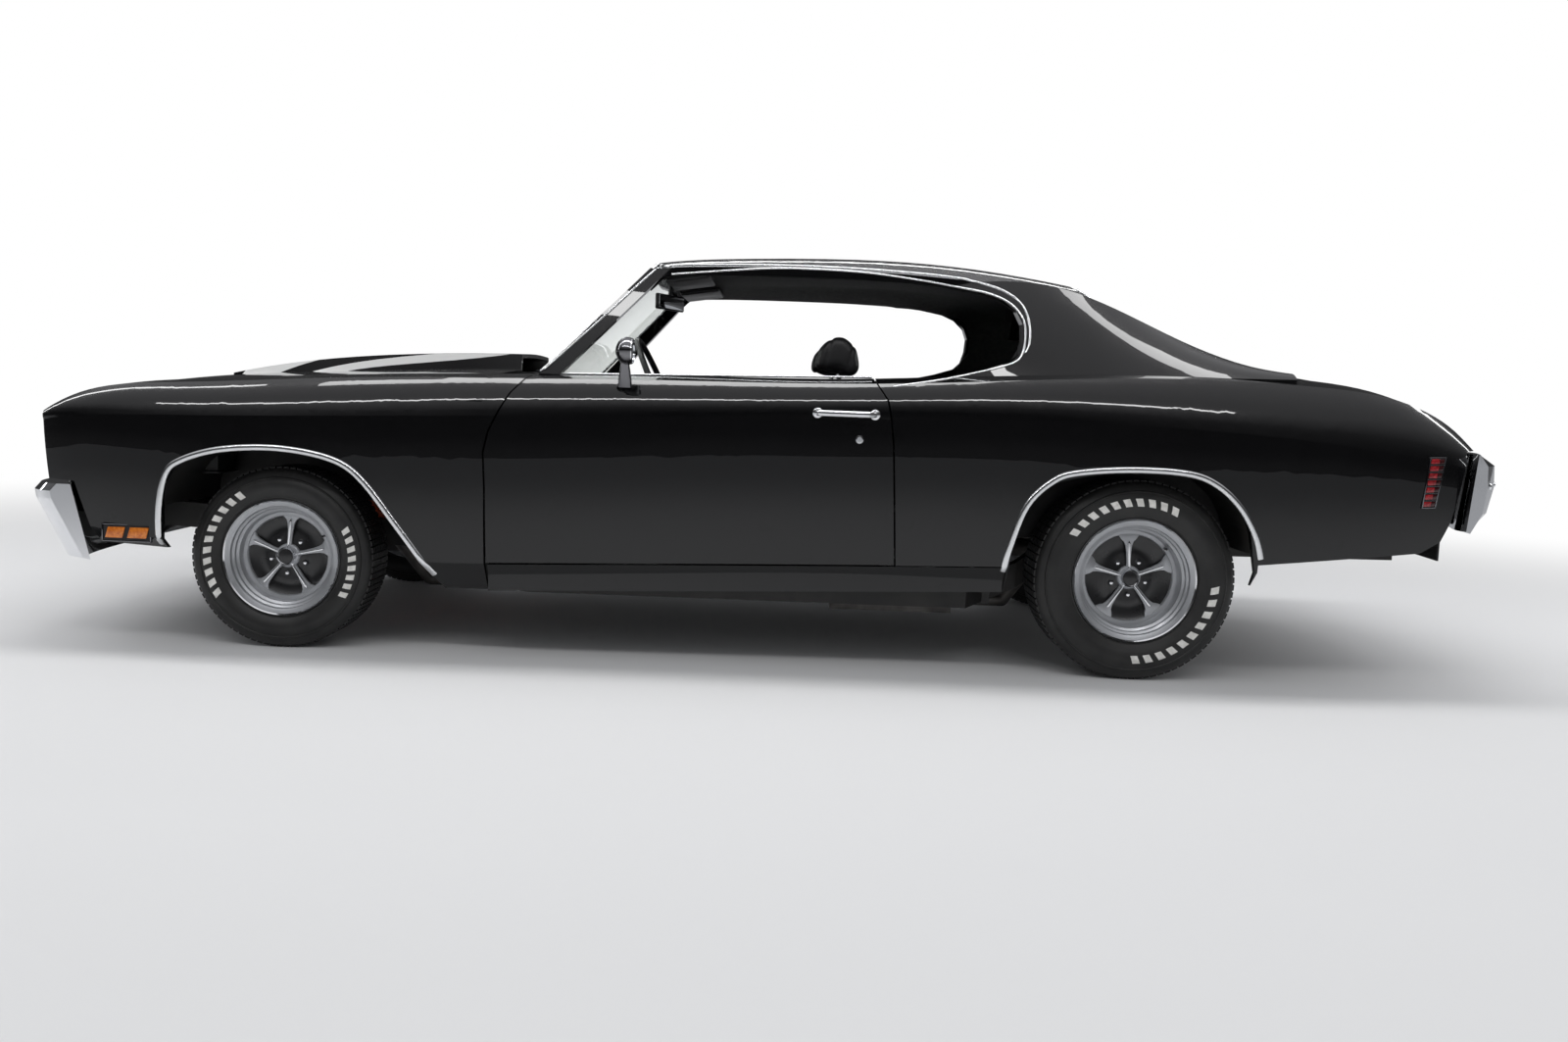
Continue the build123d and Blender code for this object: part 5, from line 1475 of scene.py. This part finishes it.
def makeCarpets():
    floorTree = surfaceOf("floor_pan")
    across = [-0.745 + 0.0453 * k for k in range(14)] + [-0.153, -0.147, -0.08, 0.0]
    across = across + [-y for y in reversed(across[:-1])]
    start, stride, count = cabin["floorRows"]
    level = cabin["floorLevel"]
    rows = []
    for i in range(count):
        x = start + stride * i
        row = []
        for y in across:
            hit = landOn(floorTree, (x, y, 0.9), (0, 0, -1))
            z = hit[0].z if hit else level
            # points that land low on the tunnel's side go down to the floor
            if 0.32 < z < 0.44:
                z = level
            row.append((x, y, z + cabin["pile"]))
        rows.append(row)
    pile = sheetOf(rows, "floorCarpet", carpet, 0.004, 30)
    toe = slab([(0.790, 0.310), (0.924, 0.470), (0.924, 0.640), (0.916, 0.640), (0.914, 0.478),
                (0.780, 0.312)], "XZ",
               -0.690, 1.380, 0.002)
    toe = settle(toe, "toeCarpet", carpet, 30)
    mat = roundedBox(-2.200, -1.210, -0.575, 0.575, 0.5065, 0.5120, 0.002)
    mat = settle(mat, "bootMat", carpet, 30)


def makeDoorTrim():
    level, thick = cabin["trimLevel"], cabin["trimThick"]
    board = slab(cabin["doorTrim"], "XZ", level, thick, 0.004)
    lowPanel = [(-0.360, 0.560), (0.740, 0.560), (0.742, 0.640), (-0.360, 0.640)]
    highPanel = [(-0.360, 0.735), (0.660, 0.735), (0.650, 0.905), (-0.360, 0.920)]
    panels = [slab(lowPanel, "XZ", level - 0.004, 0.006, 0.003),
              slab(highPanel, "XZ", level - 0.005, 0.007, 0.0035)]
    for k in range(9):
        z = 0.565 + 0.0085 * k
        panels.append(roundedBox(-0.352, 0.732, level - 0.0065, level - 0.002, z, z + 0.0058, 0.0018))
    trimBoard = settle([board] + panels, "doorTrim_left", blackVinyl, 35, "door_left")
    carpetBand = slab([(-0.392, 0.428), (0.785, 0.428), (0.802, 0.500), (0.800, 0.540), (-0.392, 0.540)],
                      "XZ",
                      level - 0.003, 0.005, 0.001)
    carpetBand = settle(carpetBand, "doorCarpet_left", carpet, 30, "door_left")
    arm = roundedBox(-0.250, 0.200, level - 0.054, level + 0.001, 0.652, 0.700, 0.016, 4)
    arm = settle(arm, "armRest_left", blackVinyl, 50, "door_left")
    bright = [roundedBox(-0.385, 0.765, level - 0.0045, level - 0.001, z, z + 0.0035, 0.001) for z in (0.546,
                                                                                                       0.650)]
    bright += [roundedBox(-0.385, 0.655, level - 0.0045, level - 0.001, 0.722, 0.7255, 0.001)]
    bright.append(spun([(0, -0.016), (0.012, -0.015), (0.020, -0.008), (0.022, 0.002), (0, 0.002)],
                       (0.330, level - 0.001, 0.620), "Y", 32))
    bright.append(roundedBox(0.232, 0.335, level - 0.0240, level - 0.0165, 0.6135, 0.6265, 0.003))
    bright.append(roundedBox(0.300, 0.420, level - 0.0260, level - 0.0190, 0.790, 0.808, 0.004))
    bright.append(tube(0.405, level - 0.010, 0.799, 0.008, 0.022, "Y", 20, 0.001))
    brightParts = settle(bright, "doorBright_left", chrome, 35, "door_left")
    knob = spun([(0, -0.044), (0.008, -0.043), (0.012, -0.036), (0.011, -0.026), (0.006, -0.022),
                 (0, -0.022)],
                (0.238, level, 0.620), "Y", 24)
    knob = settle(knob, "doorKnob_left", satinBlack, 40, "door_left")
    for obj in (trimBoard, carpetBand, arm, brightParts, knob):
        other = mirroredCopy(obj, "door_right")


# boards beside the rear seat, and the plates on the sills
def makeSideTrim():
    side = slab(cabin["sideTrim"], "XZ", 0.5730, 0.0120, 0.004)
    ledge = roundedBox(-1.168, -0.430, 0.5840, 0.7600, 0.9380, 0.9460, 0.003)
    rest = roundedBox(-0.900, -0.520, 0.5450, 0.5740, 0.6900, 0.7400, 0.012, 3)
    edge = roundedBox(-0.446, -0.434, 0.5850, 0.7580, 0.4700, 0.9400, 0.002)
    mirroredCopy(settle([side, ledge, rest, edge], "sideTrim_left", blackVinyl, 35))
    plate = roundedBox(-0.420, 0.860, 0.7620, 0.8060, 0.3395, 0.3430, 0.001)
    mirroredCopy(settle(plate, "sillPlate_left", brightTrim, 30))


makeHeadliner()
makeSailLinings()
makeCarpets()
makeDoorTrim()
makeSideTrim()
print("cabin trim made")


# dashboard, steering wheel, mirror and controls

dash = {
    "dials": ((0.270, 0.0340), (0.450, 0.0340)),
    "smallDials": ((0.360, 0.902, 0.0145), (0.360, 0.864, 0.0145), (0.520, 0.885, 0.0170),
                   (0.200, 0.885, 0.0170)),
    "dialZ": 0.884,
    "face": 0.5400,
}
wheel = {
    "centre": (0.405, 0.360, 0.912),
    "tilt": -65.0,
    "ring": 0.188,
    "grip": 0.0108,
    "spokes": (90, 180, 270),
}


# round bar between two points
def barBetween(start, end, radius, sides=24, bevel=0.0):
    a, b = Vector(start), Vector(end)
    turn = (b - a).to_track_quat("Z", "Y").to_matrix().to_4x4()
    bar = tube(0, 0, 0, radius, (b - a).length, "Z", sides, bevel)
    bar.data.transform(Matrix.Translation((a + b) / 2) @ turn)
    return bar


def makeDash():
    face = dash["face"]
    pod = [roundedBox(face, 0.600, 0.165, 0.555, 0.842, 0.926, 0.010, 3)]
    pod.append(slab([(0.528, 0.924), (0.600, 0.930), (0.620, 0.950), (0.560, 0.944), (0.522, 0.934)], "XZ",
                    0.150, 0.420, 0.004))
    pod.append(roundedBox(0.5520, 0.5900, -0.150, 0.130, 0.840, 0.918, 0.008, 3))
    pod.append(roundedBox(0.5540, 0.5900, -0.640, -0.190, 0.846, 0.914, 0.008, 3))
    settle(pod, "dashPods", satinBlack, 40)
    roll = rope([(0.566, -0.690, 0.926), (0.562, -0.350, 0.930), (0.562, 0.0, 0.931), (0.562, 0.140, 0.931)],
                0.0125, blackVinyl, "dashRoll", 6)
    faces, rings, marks = [], [], []
    dials = [(y, dash["dialZ"], r) for y, r in dash["dials"]] + list(dash["smallDials"])
    for y, z, r in dials:
        faces.append(spun([(0, -0.0010), (r, -0.0010), (r, 0.004), (0, 0.004)], (face, y, z), "X", 48))
        rings.append(spun([(r - 0.0012, -0.0012), (r, -0.0048), (r + 0.0035, -0.0042), (r + 0.0042, 0.002),
                           (r - 0.0012, 0.002), (r - 0.0012, -0.0012)], (face, y, z), "X", 48))
        count = 24 if r > 0.03 else 8
        for k in range(count):
            angle = math.radians(225 - 270 * k / (count - 1))
            long = 0.0052 if k % 4 == 0 else 0.0032
            dot = roundedBox(face - 0.0018, face - 0.0008, -0.0005, 0.0005, r - 0.004 - long, r - 0.004,
                             0.0002, 1)
            dot.data.transform(Matrix.Translation((0, y, z)) @ Matrix.Rotation(angle - math.pi / 2, 4, "X"))
            marks.append(dot)
        hand = roundedBox(face - 0.0034, face - 0.0022, -0.0007, 0.0007, -0.005, r - 0.007, 0.0003, 1)
        hand.data.transform(Matrix.Translation((0, y, z)) @ Matrix.Rotation(math.radians(128), 4, "X"))
        marks.append(hand)
    settle(faces, "dialFaces", dialFace, 30)
    settle(marks, "dialMarks", dialMark, 0)
    for y, z, r in ((-0.120, 0.862, 0.009), (0.100, 0.862, 0.009), (-0.215, 0.880, 0.008),
                    (0.185, 0.858, 0.006)):
        rings.append(spun([(0, -0.014), (r - 0.002, -0.013), (r, -0.010), (r, 0.002), (0, 0.002)],
                          (0.5535, y, z), "X", 24))
    for z in (0.848, 0.9115):
        rings.append(roundedBox(0.5500, 0.5560, -0.146, 0.126, z - 0.0012, z + 0.0012, 0.0006))
    rings.append(roundedBox(0.5500, 0.5560, -0.632, -0.198, 0.8500, 0.8525, 0.0008))
    settle(rings, "dashBright", chrome, 35)
    radio = [roundedBox(0.5490, 0.5560, -0.092, 0.072, 0.852, 0.874, 0.002)]
    for k in range(5):
        radio.append(roundedBox(0.5460, 0.5520, -0.064 + 0.026 * k, -0.042 + 0.026 * k, 0.8555, 0.8625,
                                0.0012))
    for k in range(7):
        radio.append(roundedBox(0.5490, 0.5560, -0.130 + 0.036 * k, -0.104 + 0.036 * k, 0.884, 0.904, 0.002))
    settle(radio, "radioAndVents", dialFace, 30)


def makeSteeringWheel():
    place = Matrix.Translation(wheel["centre"]) @ Matrix.Rotation(math.radians(wheel["tilt"]), 4, "Y")
    deselect()
    bpy.ops.mesh.primitive_torus_add(major_radius=wheel["ring"], minor_radius=wheel["grip"],
                                     major_segments=96,
                                     minor_segments=16, location=(0, 0, 0))
    ring = bpy.context.object
    # finger grips on the inner side of the ring
    for v in ring.data.vertices:
        away = math.hypot(v.co.x, v.co.y)
        if away < wheel["ring"] - 0.004:
            v.co *= 1 + 0.010 * math.sin(48 * math.atan2(v.co.y, v.co.x))
    ring.data.transform(place)
    rim = settle(ring, "steeringRing", blackVinyl, 60)
    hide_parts("steering")
    spokes = []
    for angle in wheel["spokes"]:
        bar = slab([(0.036, -0.021), (0.110, -0.015), (0.186, -0.019), (0.186, 0.019), (0.110, 0.015),
                    (0.036, 0.021)],
                   "XY", -0.0020, 0.0040, 0.0012)
        editFaces(bar, lambda face: abs(face.normal.z) > 0.9)
        bpy.ops.mesh.inset(thickness=0.006, depth=-0.0010)
        leaveFaces()
        bar.data.transform(place @ Matrix.Rotation(math.radians(angle), 4, "Z"))
        spokes.append(bar)
    settle(spokes, "steeringSpokes", brightTrim, 30)
    hub = spun([(0, 0.020), (0.020, 0.020), (0.034, 0.016), (0.044, 0.008), (0.045, -0.014), (0.030, -0.017),
                (0, -0.017)], (0, 0, 0), "Z", 48)
    hub.data.transform(place)
    column = [barBetween((0.4215, 0.360, 0.9043), (0.700, 0.360, 0.790), 0.0260, 32, 0.002),
              barBetween((0.440, 0.360, 0.8967), (0.500, 0.360, 0.8721), 0.0330, 32, 0.004)]
    settle([hub] + column, "steeringColumn", satinBlack, 40)
    turnLever = barBetween((0.462, 0.386, 0.888), (0.440, 0.520, 0.905), 0.0038, 16, 0.0008)
    tip = spun([(0, 0.012), (0.0055, 0.009), (0.0060, -0.006), (0.0038, -0.012), (0, -0.012)],
               (0.440, 0.526, 0.906), "Y", 20)
    otherLever = barBetween((0.470, 0.334, 0.884), (0.452, 0.212, 0.902), 0.0042, 16, 0.0008)
    horn = spun([(0.0155, 0.0205), (0.018, 0.0225), (0.0205, 0.0205), (0.0205, 0.018), (0.0155, 0.018),
                 (0.0155, 0.0205)],
                (0, 0, 0), "Z", 40)
    horn.data.transform(place)
    settle([turnLever, tip, otherLever, horn], "columnBright", chrome, 35)


def makeControls():
    boot = spun([(0.052, 0.0), (0.050, 0.006), (0.034, 0.014), (0.036, 0.022), (0.024, 0.030), (0.026, 0.040),
                 (0.014, 0.050), (0.012, 0.060), (0, 0.060), (0, 0.0), (0.052, 0.0)], (0.330, 0, 0.560), "Z",
                40)
    pads = [boot]
    for y, half in ((0.330, 0.030), (0.235, 0.024)):
        pads.append(slab([(0.826, 0.452), (0.834, 0.458), (0.806, 0.520), (0.798, 0.514)], "XZ", y - half,
                         2 * half, 0.002))
        for k in range(4):
            z = 0.466 + 0.013 * k
            pads.append(roundedBox(0.8230 - 0.0058 * k, 0.8300 - 0.0058 * k, y - half + 0.004,
                                   y + half - 0.004, z, z + 0.005, 0.001))
    settle(pads, "bootAndPedals", hoseRubber, 40)
    bright = [barBetween((0.330, 0, 0.600), (0.296, 0, 0.700), 0.0062, 20, 0.001),
              roundedBox(0.262, 0.398, -0.058, 0.058, 0.5595, 0.5640, 0.002)]
    bright += [barBetween((0.812, y, 0.506), (0.850, y, 0.770), 0.0060, 16) for y in (0.330, 0.235)]
    settle(bright, "shifterBright", chrome, 40)
    knob = spun([(0, 0.024), (0.010, 0.022), (0.019, 0.012), (0.021, 0.0), (0.016, -0.013), (0.008, -0.020),
                 (0, -0.020)],
                (0.290, 0, 0.716), "Z", 32)
    lid = roundedBox(-0.070, 0.200, -0.098, 0.098, 0.5420, 0.5640, 0.008, 3)
    lid.data.transform(turnAbout((0.065, 0, 0.553), math.radians(-3.2), "Y"))
    settle([knob, lid], "shifterKnobAndLid", blackVinyl, 40)


def makeMirrorAndVisors():
    shell = roundedBox(0.3985, 0.4140, -0.120, 0.120, 1.215, 1.275, 0.0065, 4)
    stalk = barBetween((0.408, 0, 1.262), (0.404, 0, 1.336), 0.0065, 20)
    # the mirror is turned towards the driver
    turned = turnAbout((0.407, 0, 0), math.radians(-20), "Z")
    shell.data.transform(turned)
    housing = settle([shell, stalk], "insideMirror", satinBlack, 40)
    glass = roundedBox(0.3968, 0.3990, -0.113, 0.113, 1.221, 1.269, 0.0008)
    glass.data.transform(turned)
    settle(glass, "insideMirrorGlass", mirrorFace, 30)
    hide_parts("inside_mirror")

    for side, suffix in ((1, "left"), (-1, "right")):
        y0, y1 = sorted((side * 0.130, side * 0.520))
        visor = roundedBox(-0.078, 0.078, y0, y1, -0.0085, 0.0085, 0.0080, 4)
        visor.data.transform(Matrix.Translation((0.300, 0, 1.3025)) @ Matrix.Rotation(math.radians(9), 4,
                                                                                      "Y"))
        piece = settle(visor, "sunVisor_" + suffix, visorVinyl, 50)
        rod = barBetween((0.372, side * 0.100, 1.294), (0.372, side * 0.500, 1.294), 0.0042, 14)
        settle(rod, "visorRod_" + suffix, satinBlack, 40)


makeDash()
makeSteeringWheel()
makeControls()
makeMirrorAndVisors()
print("dashboard and controls made")


# engine bay

motor = {
    "back": 1.085,
    "crank": 0.420,
    "bankLean": 40.0,
    "ports": (1.185, 1.300, 1.415, 1.530),
    "cleaner": (1.370, 0.0, 0.826, 0.168),
    "beltPlane": 1.672,
    # upper and lower radiator hose
    "hoses": (((2.066, -0.290, 0.780), (1.980, -0.280, 0.780), (1.800, -0.200, 0.775), (1.660, -0.080, 0.745),
               (1.590, -0.040, 0.720)), ((2.066, 0.280, 0.500), (1.960, 0.270, 0.490), (1.820, 0.160, 0.470),
                                         (1.740, 0.110, 0.470), (1.600, 0.090, 0.520)),),
}


def makeEngine():
    back = motor["back"]
    block = [slab([(-0.150, 0.400), (0.150, 0.400), (0.168, 0.480), (0.100, 0.600), (0.070, 0.680),
                   (-0.070, 0.680),
                   (-0.100, 0.600), (-0.168, 0.480)], "YZ", back, 1.600 - back, 0.006)]
    # the sump
    block.append(slab([(-0.120, 0.334), (0.120, 0.334), (0.140, 0.402), (-0.140, 0.402)], "YZ", 1.120, 0.440,
                      0.010))
    for side in (-1, 1):
        lean = Matrix.Rotation(math.radians(side * motor["bankLean"]), 4, "X").inverted()
        onBank = Matrix.Translation((0, 0, motor["crank"])) @ lean
        head = roundedBox(1.115, 1.580, -0.058, 0.058, 0.205, 0.282, 0.007)
        head.data.transform(onBank)
        cover = roundedBox(1.120, 1.575, -0.050, 0.050, 0.279, 0.330, 0.016, 4)
        editFaces(cover, lambda face: face.normal.z > 0.99 and face.center.z > 0.32)
        bpy.ops.mesh.inset(thickness=0.012, depth=0)
        bpy.ops.mesh.inset(thickness=0.003, depth=-0.003)
        leaveFaces()
        cover.data.transform(onBank)
        block += [head, cover]
        for x in (1.145, 1.345, 1.545):
            for w in (-0.045, 0.045):
                bolt = tube(x, w, 0.286, 0.0055, 0.010, "Z", 6, 0.001)
                bolt.data.transform(onBank)
                block.append(bolt)
    intake = slab([(-0.150, 0.640), (-0.060, 0.665), (0.060, 0.665), (0.150, 0.640), (0.120, 0.690),
                   (0.050, 0.722),
                   (-0.050, 0.722), (-0.120, 0.690)], "YZ", 1.150, 0.400, 0.006)
    block.append(intake)
    for x in motor["ports"]:
        for side in (-1, 1):
            root = (1.360 + (x - 1.360) * 0.45, side * 0.030, 0.715)
            block.append(barBetween(root, (x, side * 0.130, 0.672), 0.0200, 20))
    block.append(spun([(0, 0.0), (0.135, 0.0), (0.150, 0.020), (0.150, 0.060), (0, 0.060)],
                      (back - 0.020, 0, 0.440), "X", 40))
    cover = slab([(-0.130, 0.380), (0.130, 0.380), (0.110, 0.560), (0.050, 0.640), (-0.050, 0.640),
                  (-0.110, 0.560)],
                 "YZ", 1.600, 0.018, 0.006)
    piece = settle(block + [cover], "engineBlock", engineOrange, 35)
    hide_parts("engine")


def makeAirCleaner():
    x, y, z, r = motor["cleaner"]
    lidProfile = [(0, 0.024), (0.030, 0.023), (0.060, 0.018), (0.120, 0.019), (0.150, 0.016), (r, 0.008),
                  (r, 0.0),
                  (0, 0.0), (0, 0.024)]
    lid = spun(lidProfile, (x, y, z), "Z", 72)
    base = spun([(0, 0.0), (0.150, 0.0), (0.166, 0.008), (0.166, 0.014), (0, 0.014), (0, 0.0)],
                (x, y, z - 0.052), "Z", 72)
    nut = spun([(0, 0.016), (0.004, 0.016), (0.006, 0.010), (0.016, 0.006), (0.016, 0.0), (0, 0.0),
                (0, 0.016)],
               (x, y, z + 0.022), "Z", 20)
    shiny = [lid, base, nut]
    shiny.append(tube(1.555, 0.105, 0.735, 0.028, 0.012, "Z", 32, 0.003))
    shiny.append(barBetween((1.180, -0.090, 0.700), (1.180, -0.090, 0.742), 0.0280, 32, 0.004))
    settle(shiny, "airCleanerCovers", chrome, 35)
    filterRing = spun([(0.120, 0.0), (0.155, 0.0), (0.155, 0.040), (0.120, 0.040), (0.120, 0.0)],
                      (x, y, z - 0.039), "Z", 72)
    pleats = [filterRing]
    for k in range(60):
        rib = roundedBox(0.1545, 0.1600, -0.0018, 0.0018, 0.002, 0.038, 0.0008, 1)
        rib.data.transform(Matrix.Translation((x, y, z - 0.039)) @ Matrix.Rotation(math.radians(6 * k), 4,
                                                                                   "Z"))
        pleats.append(rib)
    settle(pleats, "filterElement", whiteRubber, 0)


def makeCastings():
    cast = [roundedBox(1.290, 1.430, -0.075, 0.075, 0.720, 0.758, 0.006),
            tube(motor["cleaner"][0], 0, 0.762, 0.062, 0.030, "Z", 40, 0.003)]
    cast.append(barBetween((1.120, 0, 0.660), (1.120, 0, 0.770), 0.040, 32, 0.004))
    for side in (-1, 1):
        for px in motor["ports"]:
            cast.append(barBetween((px, side * 0.188, 0.560), (px, side * 0.236, 0.525), 0.0190, 20))
        cast.append(barBetween((1.165, side * 0.236, 0.520), (1.550, side * 0.236, 0.520), 0.0260, 24, 0.008))
        cast.append(barBetween((1.200, side * 0.236, 0.516), (1.150, side * 0.225, 0.420), 0.0250, 24, 0.004))
    cast.append(barBetween((1.575, 0.170, 0.700), (1.660, 0.170, 0.700), 0.058, 40, 0.008))
    cast.append(barBetween((1.570, -0.190, 0.620), (1.650, -0.190, 0.620), 0.050, 40, 0.008))
    settle(cast, "engineCastings", castMetal, 35)


def makeEngineDressing():
    leads = []
    for side in (-1, 1):
        for k, px in enumerate(motor["ports"]):
            path = smoothLine([(1.120 + 0.010 * k, side * 0.030, 0.775),
                               (1.130 + 0.020 * k, side * 0.120, 0.775),
                               (px - 0.010, side * 0.225, 0.715), (px, side * 0.246, 0.640),
                               (px, side * 0.222, 0.585)], 3)
            leads.append(rope(path, 0.0040, hoseRubber, "lead%d%d" % (side, k), 8))
    settle(leads, "plugLeads", hoseRubber, 40)
    pulleys = []
    wheels = ((0.0, 0.420, 0.080), (0.0, 0.560, 0.072), (0.170, 0.700, 0.036), (-0.190, 0.620, 0.050))
    for py, pz, pr in wheels:
        pulleys.append(spun([(0, 0.014), (pr * 0.5, 0.012), (pr * 0.7, 0.004), (pr, 0.014), (pr, 0.010),
                             (pr - 0.008, 0.0),
                             (pr, -0.010), (pr, -0.014), (0, -0.014)], (motor["beltPlane"], py, pz), "X", 48))
    settle(pulleys, "pulleys", satinBlack, 35)
    loop = ((-0.030, 0.346), (0.066, 0.372), (0.203, 0.685), (0.185, 0.735), (0.150, 0.730), (0.050, 0.632),
            (0.0, 0.640), (-0.170, 0.668), (-0.210, 0.668), (-0.240, 0.620), (-0.225, 0.580), (-0.078, 0.390))
    rope([(motor["beltPlane"], by, bz) for by, bz in loop], 0.0052, hoseRubber, "fanBelt", 8, True)
    blades = [spun([(0, 0.020), (0.030, 0.018), (0.045, 0.0), (0.045, -0.010), (0, -0.010)],
                   (1.700, 0, 0.560), "X", 36)]
    for k in range(6):
        blade = slab([(0.035, -0.022), (0.190, -0.040), (0.200, -0.030), (0.200, 0.030), (0.190, 0.040),
                      (0.035, 0.022)],
                     "XY", -0.0010, 0.0020, 0.0005)
        blade.data.transform(Matrix.Translation((1.715, 0, 0.560)) @ Matrix.Rotation(math.radians(60 * k + 8),
                                                                                     4, "X")
                             @ Matrix.Rotation(math.radians(90), 4, "Y") @ Matrix.Rotation(math.radians(28),
                                                                                           4, "X"))
        blades.append(blade)
    settle(blades, "fan", wheelSilver, 30)


def makeEngineBay():
    fins = [roundedBox(2.066, 2.104, -0.300, 0.300, 0.480, 0.810, 0.002)]
    for k in range(58):
        fins.append(roundedBox(2.0625, 2.1075, -0.298 + 0.0103 * k, -0.2950 + 0.0103 * k, 0.484, 0.806,
                               0.0004, 1))
    settle(fins, "radiatorCore", satinBlack, 0)
    tanks = [roundedBox(2.061, 2.109, y0, y1, 0.442, 0.848, 0.010, 3) for y0,
             y1 in ((-0.339, -0.300), (0.300, 0.339))]
    tanks += [roundedBox(2.061, 2.109, -0.302, 0.302, z0, z1, 0.004) for z0,
              z1 in ((0.442, 0.482), (0.808, 0.848))]
    piece = settle(tanks, "radiatorTanks", satinBlack, 30)
    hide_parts("radiator")
    hoses = [rope(smoothLine(route, 8), 0.0190, hoseRubber, "hose", 20) for route in motor["hoses"]]
    settle(hoses, "radiatorHoses", hoseRubber, 40)

    tray = [roundedBox(1.900, 2.040, 0.470, 0.640, 0.560, 0.568, 0.002)]
    case = [roundedBox(1.905, 2.035, 0.478, 0.632, 0.5675, 0.740, 0.006)]
    for k in range(6):
        case.append(tube(1.970 + (0.028 if k % 2 else -0.028), 0.500 + 0.044 * (k // 2) + 0.011, 0.742, 0.011,
                         0.010, "Z", 20, 0.002))
    settle(case + tray, "battery", hoseRubber, 35)
    posts = [tube(1.925, y, 0.750, 0.0090, 0.020, "Z", 20, 0.001) for y in (0.500, 0.610)]
    posts += [roundedBox(1.905, 1.945, y - 0.012, y + 0.012, 0.744, 0.754, 0.002) for y in (0.500, 0.610)]
    settle(posts, "batteryPosts", castMetal, 35)
    servo = [spun([(0, 0.0), (0.110, 0.0), (0.128, 0.020), (0.128, 0.032), (0.115, 0.070), (0.050, 0.090),
                   (0, 0.090), (0, 0.0)],
                  (0.985, 0.360, 0.720), "X", 56),
             barBetween((1.070, 0.360, 0.720), (1.190, 0.360, 0.720), 0.026, 32, 0.004),
             roundedBox(1.095, 1.185, 0.326, 0.394, 0.744, 0.782, 0.005)]
    settle(servo, "brakeServo", satinBlack, 40)
    heater = [roundedBox(0.984, 1.045, -0.480, -0.120, 0.600, 0.800, 0.012, 3),
              spun([(0, 0.0), (0.085, 0.0), (0.090, 0.010), (0.060, 0.050), (0, 0.052), (0, 0.0)],
                   (1.043, -0.400, 0.700), "X", 40)]
    settle(heater, "heaterBox", satinBlack, 40)


makeEngine()
makeAirCleaner()
makeCastings()
makeEngineDressing()
makeEngineBay()
print("engine bay made")


# tail lamps and suspension

rear = {
    "lamp": (0.470, 0.770),             # y of the tail lamp's ends
    "lampZ": (0.6395, 0.7405),
    "rimWidth": 0.006,
    "ribs": (0.664, 0.690, 0.716),
    "postHalf": (0.049, 0.052),
    # coil springs: x, y, foot, top, radius
    "springs": ((1.600, 0.560, 0.330, 0.560, 0.058), (-1.270, 0.450, 0.380, 0.475, 0.060)),
    "turns": 6,
    "springPoints": 8,
}


# rim and ribs of the tail lamps, drawn at x 0 and laid on the glass
def makeTailLampTrim():
    (y0, y1), (z0, z1), wide = rear["lamp"], rear["lampZ"], rear["rimWidth"]
    near, far = -0.0025, -0.0025 + wide
    bars = [roundedBox(near, far, y0, y1, z, z + wide, 0.002) for z in (z0, z1 - wide)]
    bars += [roundedBox(near, far, y, y + wide, z0, z1, 0.002) for y in (y0, y1 - wide)]
    bars += [roundedBox(near + 0.001, far - 0.001, y0 + 0.003, y1 - 0.003, z - 0.0012, z + 0.0012, 0.0008)
             for z in rear["ribs"]]
    middle = (y0 + y1) / 2
    inner, outer = rear["postHalf"]
    for a, b in ((middle - outer, middle - inner), (middle + inner, middle + outer)):
        bars.append(roundedBox(near - 0.001, far - 0.001, a, b, z0 + 0.0025, z1 - 0.0025, 0.0008))
    bars = joined(bars)
    pick(bars)
    bpy.ops.object.mode_set(mode="EDIT")
    bpy.ops.mesh.select_all(action="SELECT")
    bpy.ops.mesh.subdivide(number_cuts=5)
    bpy.ops.object.mode_set(mode="OBJECT")
    lamps = surfaceOf("tail_lamps", "rear_bumper")
    for v in bars.data.vertices:
        hit = landOn(lamps, (-2.7, v.co.y, v.co.z), (1, 0, 0))
        v.co.x += hit[0].x if hit else -2.46
    mirroredCopy(settle(bars, "tailLampTrim_left", chrome, 30))


def makeSpringsAndDampers():
    springs, shocks = [], []
    for side in (-1, 1):
        for x, y, z0, z1, r in rear["springs"]:
            points = []
            steps = rear["turns"] * rear["springPoints"]
            for k in range(steps + 1):
                a = 2 * math.pi * k / rear["springPoints"]
                points.append((x + r * math.cos(a), side * y + r * math.sin(a), z0 + (z1 - z0) * k / steps))
            springs.append(rope(points, 0.0070, satinBlack, "coil", 8))
        shocks.append(barBetween((1.600, side * 0.560, 0.330), (1.600, side * 0.560, 0.560), 0.024, 24,
                                 0.003))
        shocks.append(barBetween((-1.400, side * 0.330, 0.340), (-1.430, side * 0.310, 0.470), 0.024, 24,
                                 0.003))
    settle(springs, "coilSprings", satinBlack, 40)
    settle(shocks, "dampers", satinBlack, 40)


makeTailLampTrim()
makeSpringsAndDampers()
print("lower details made")
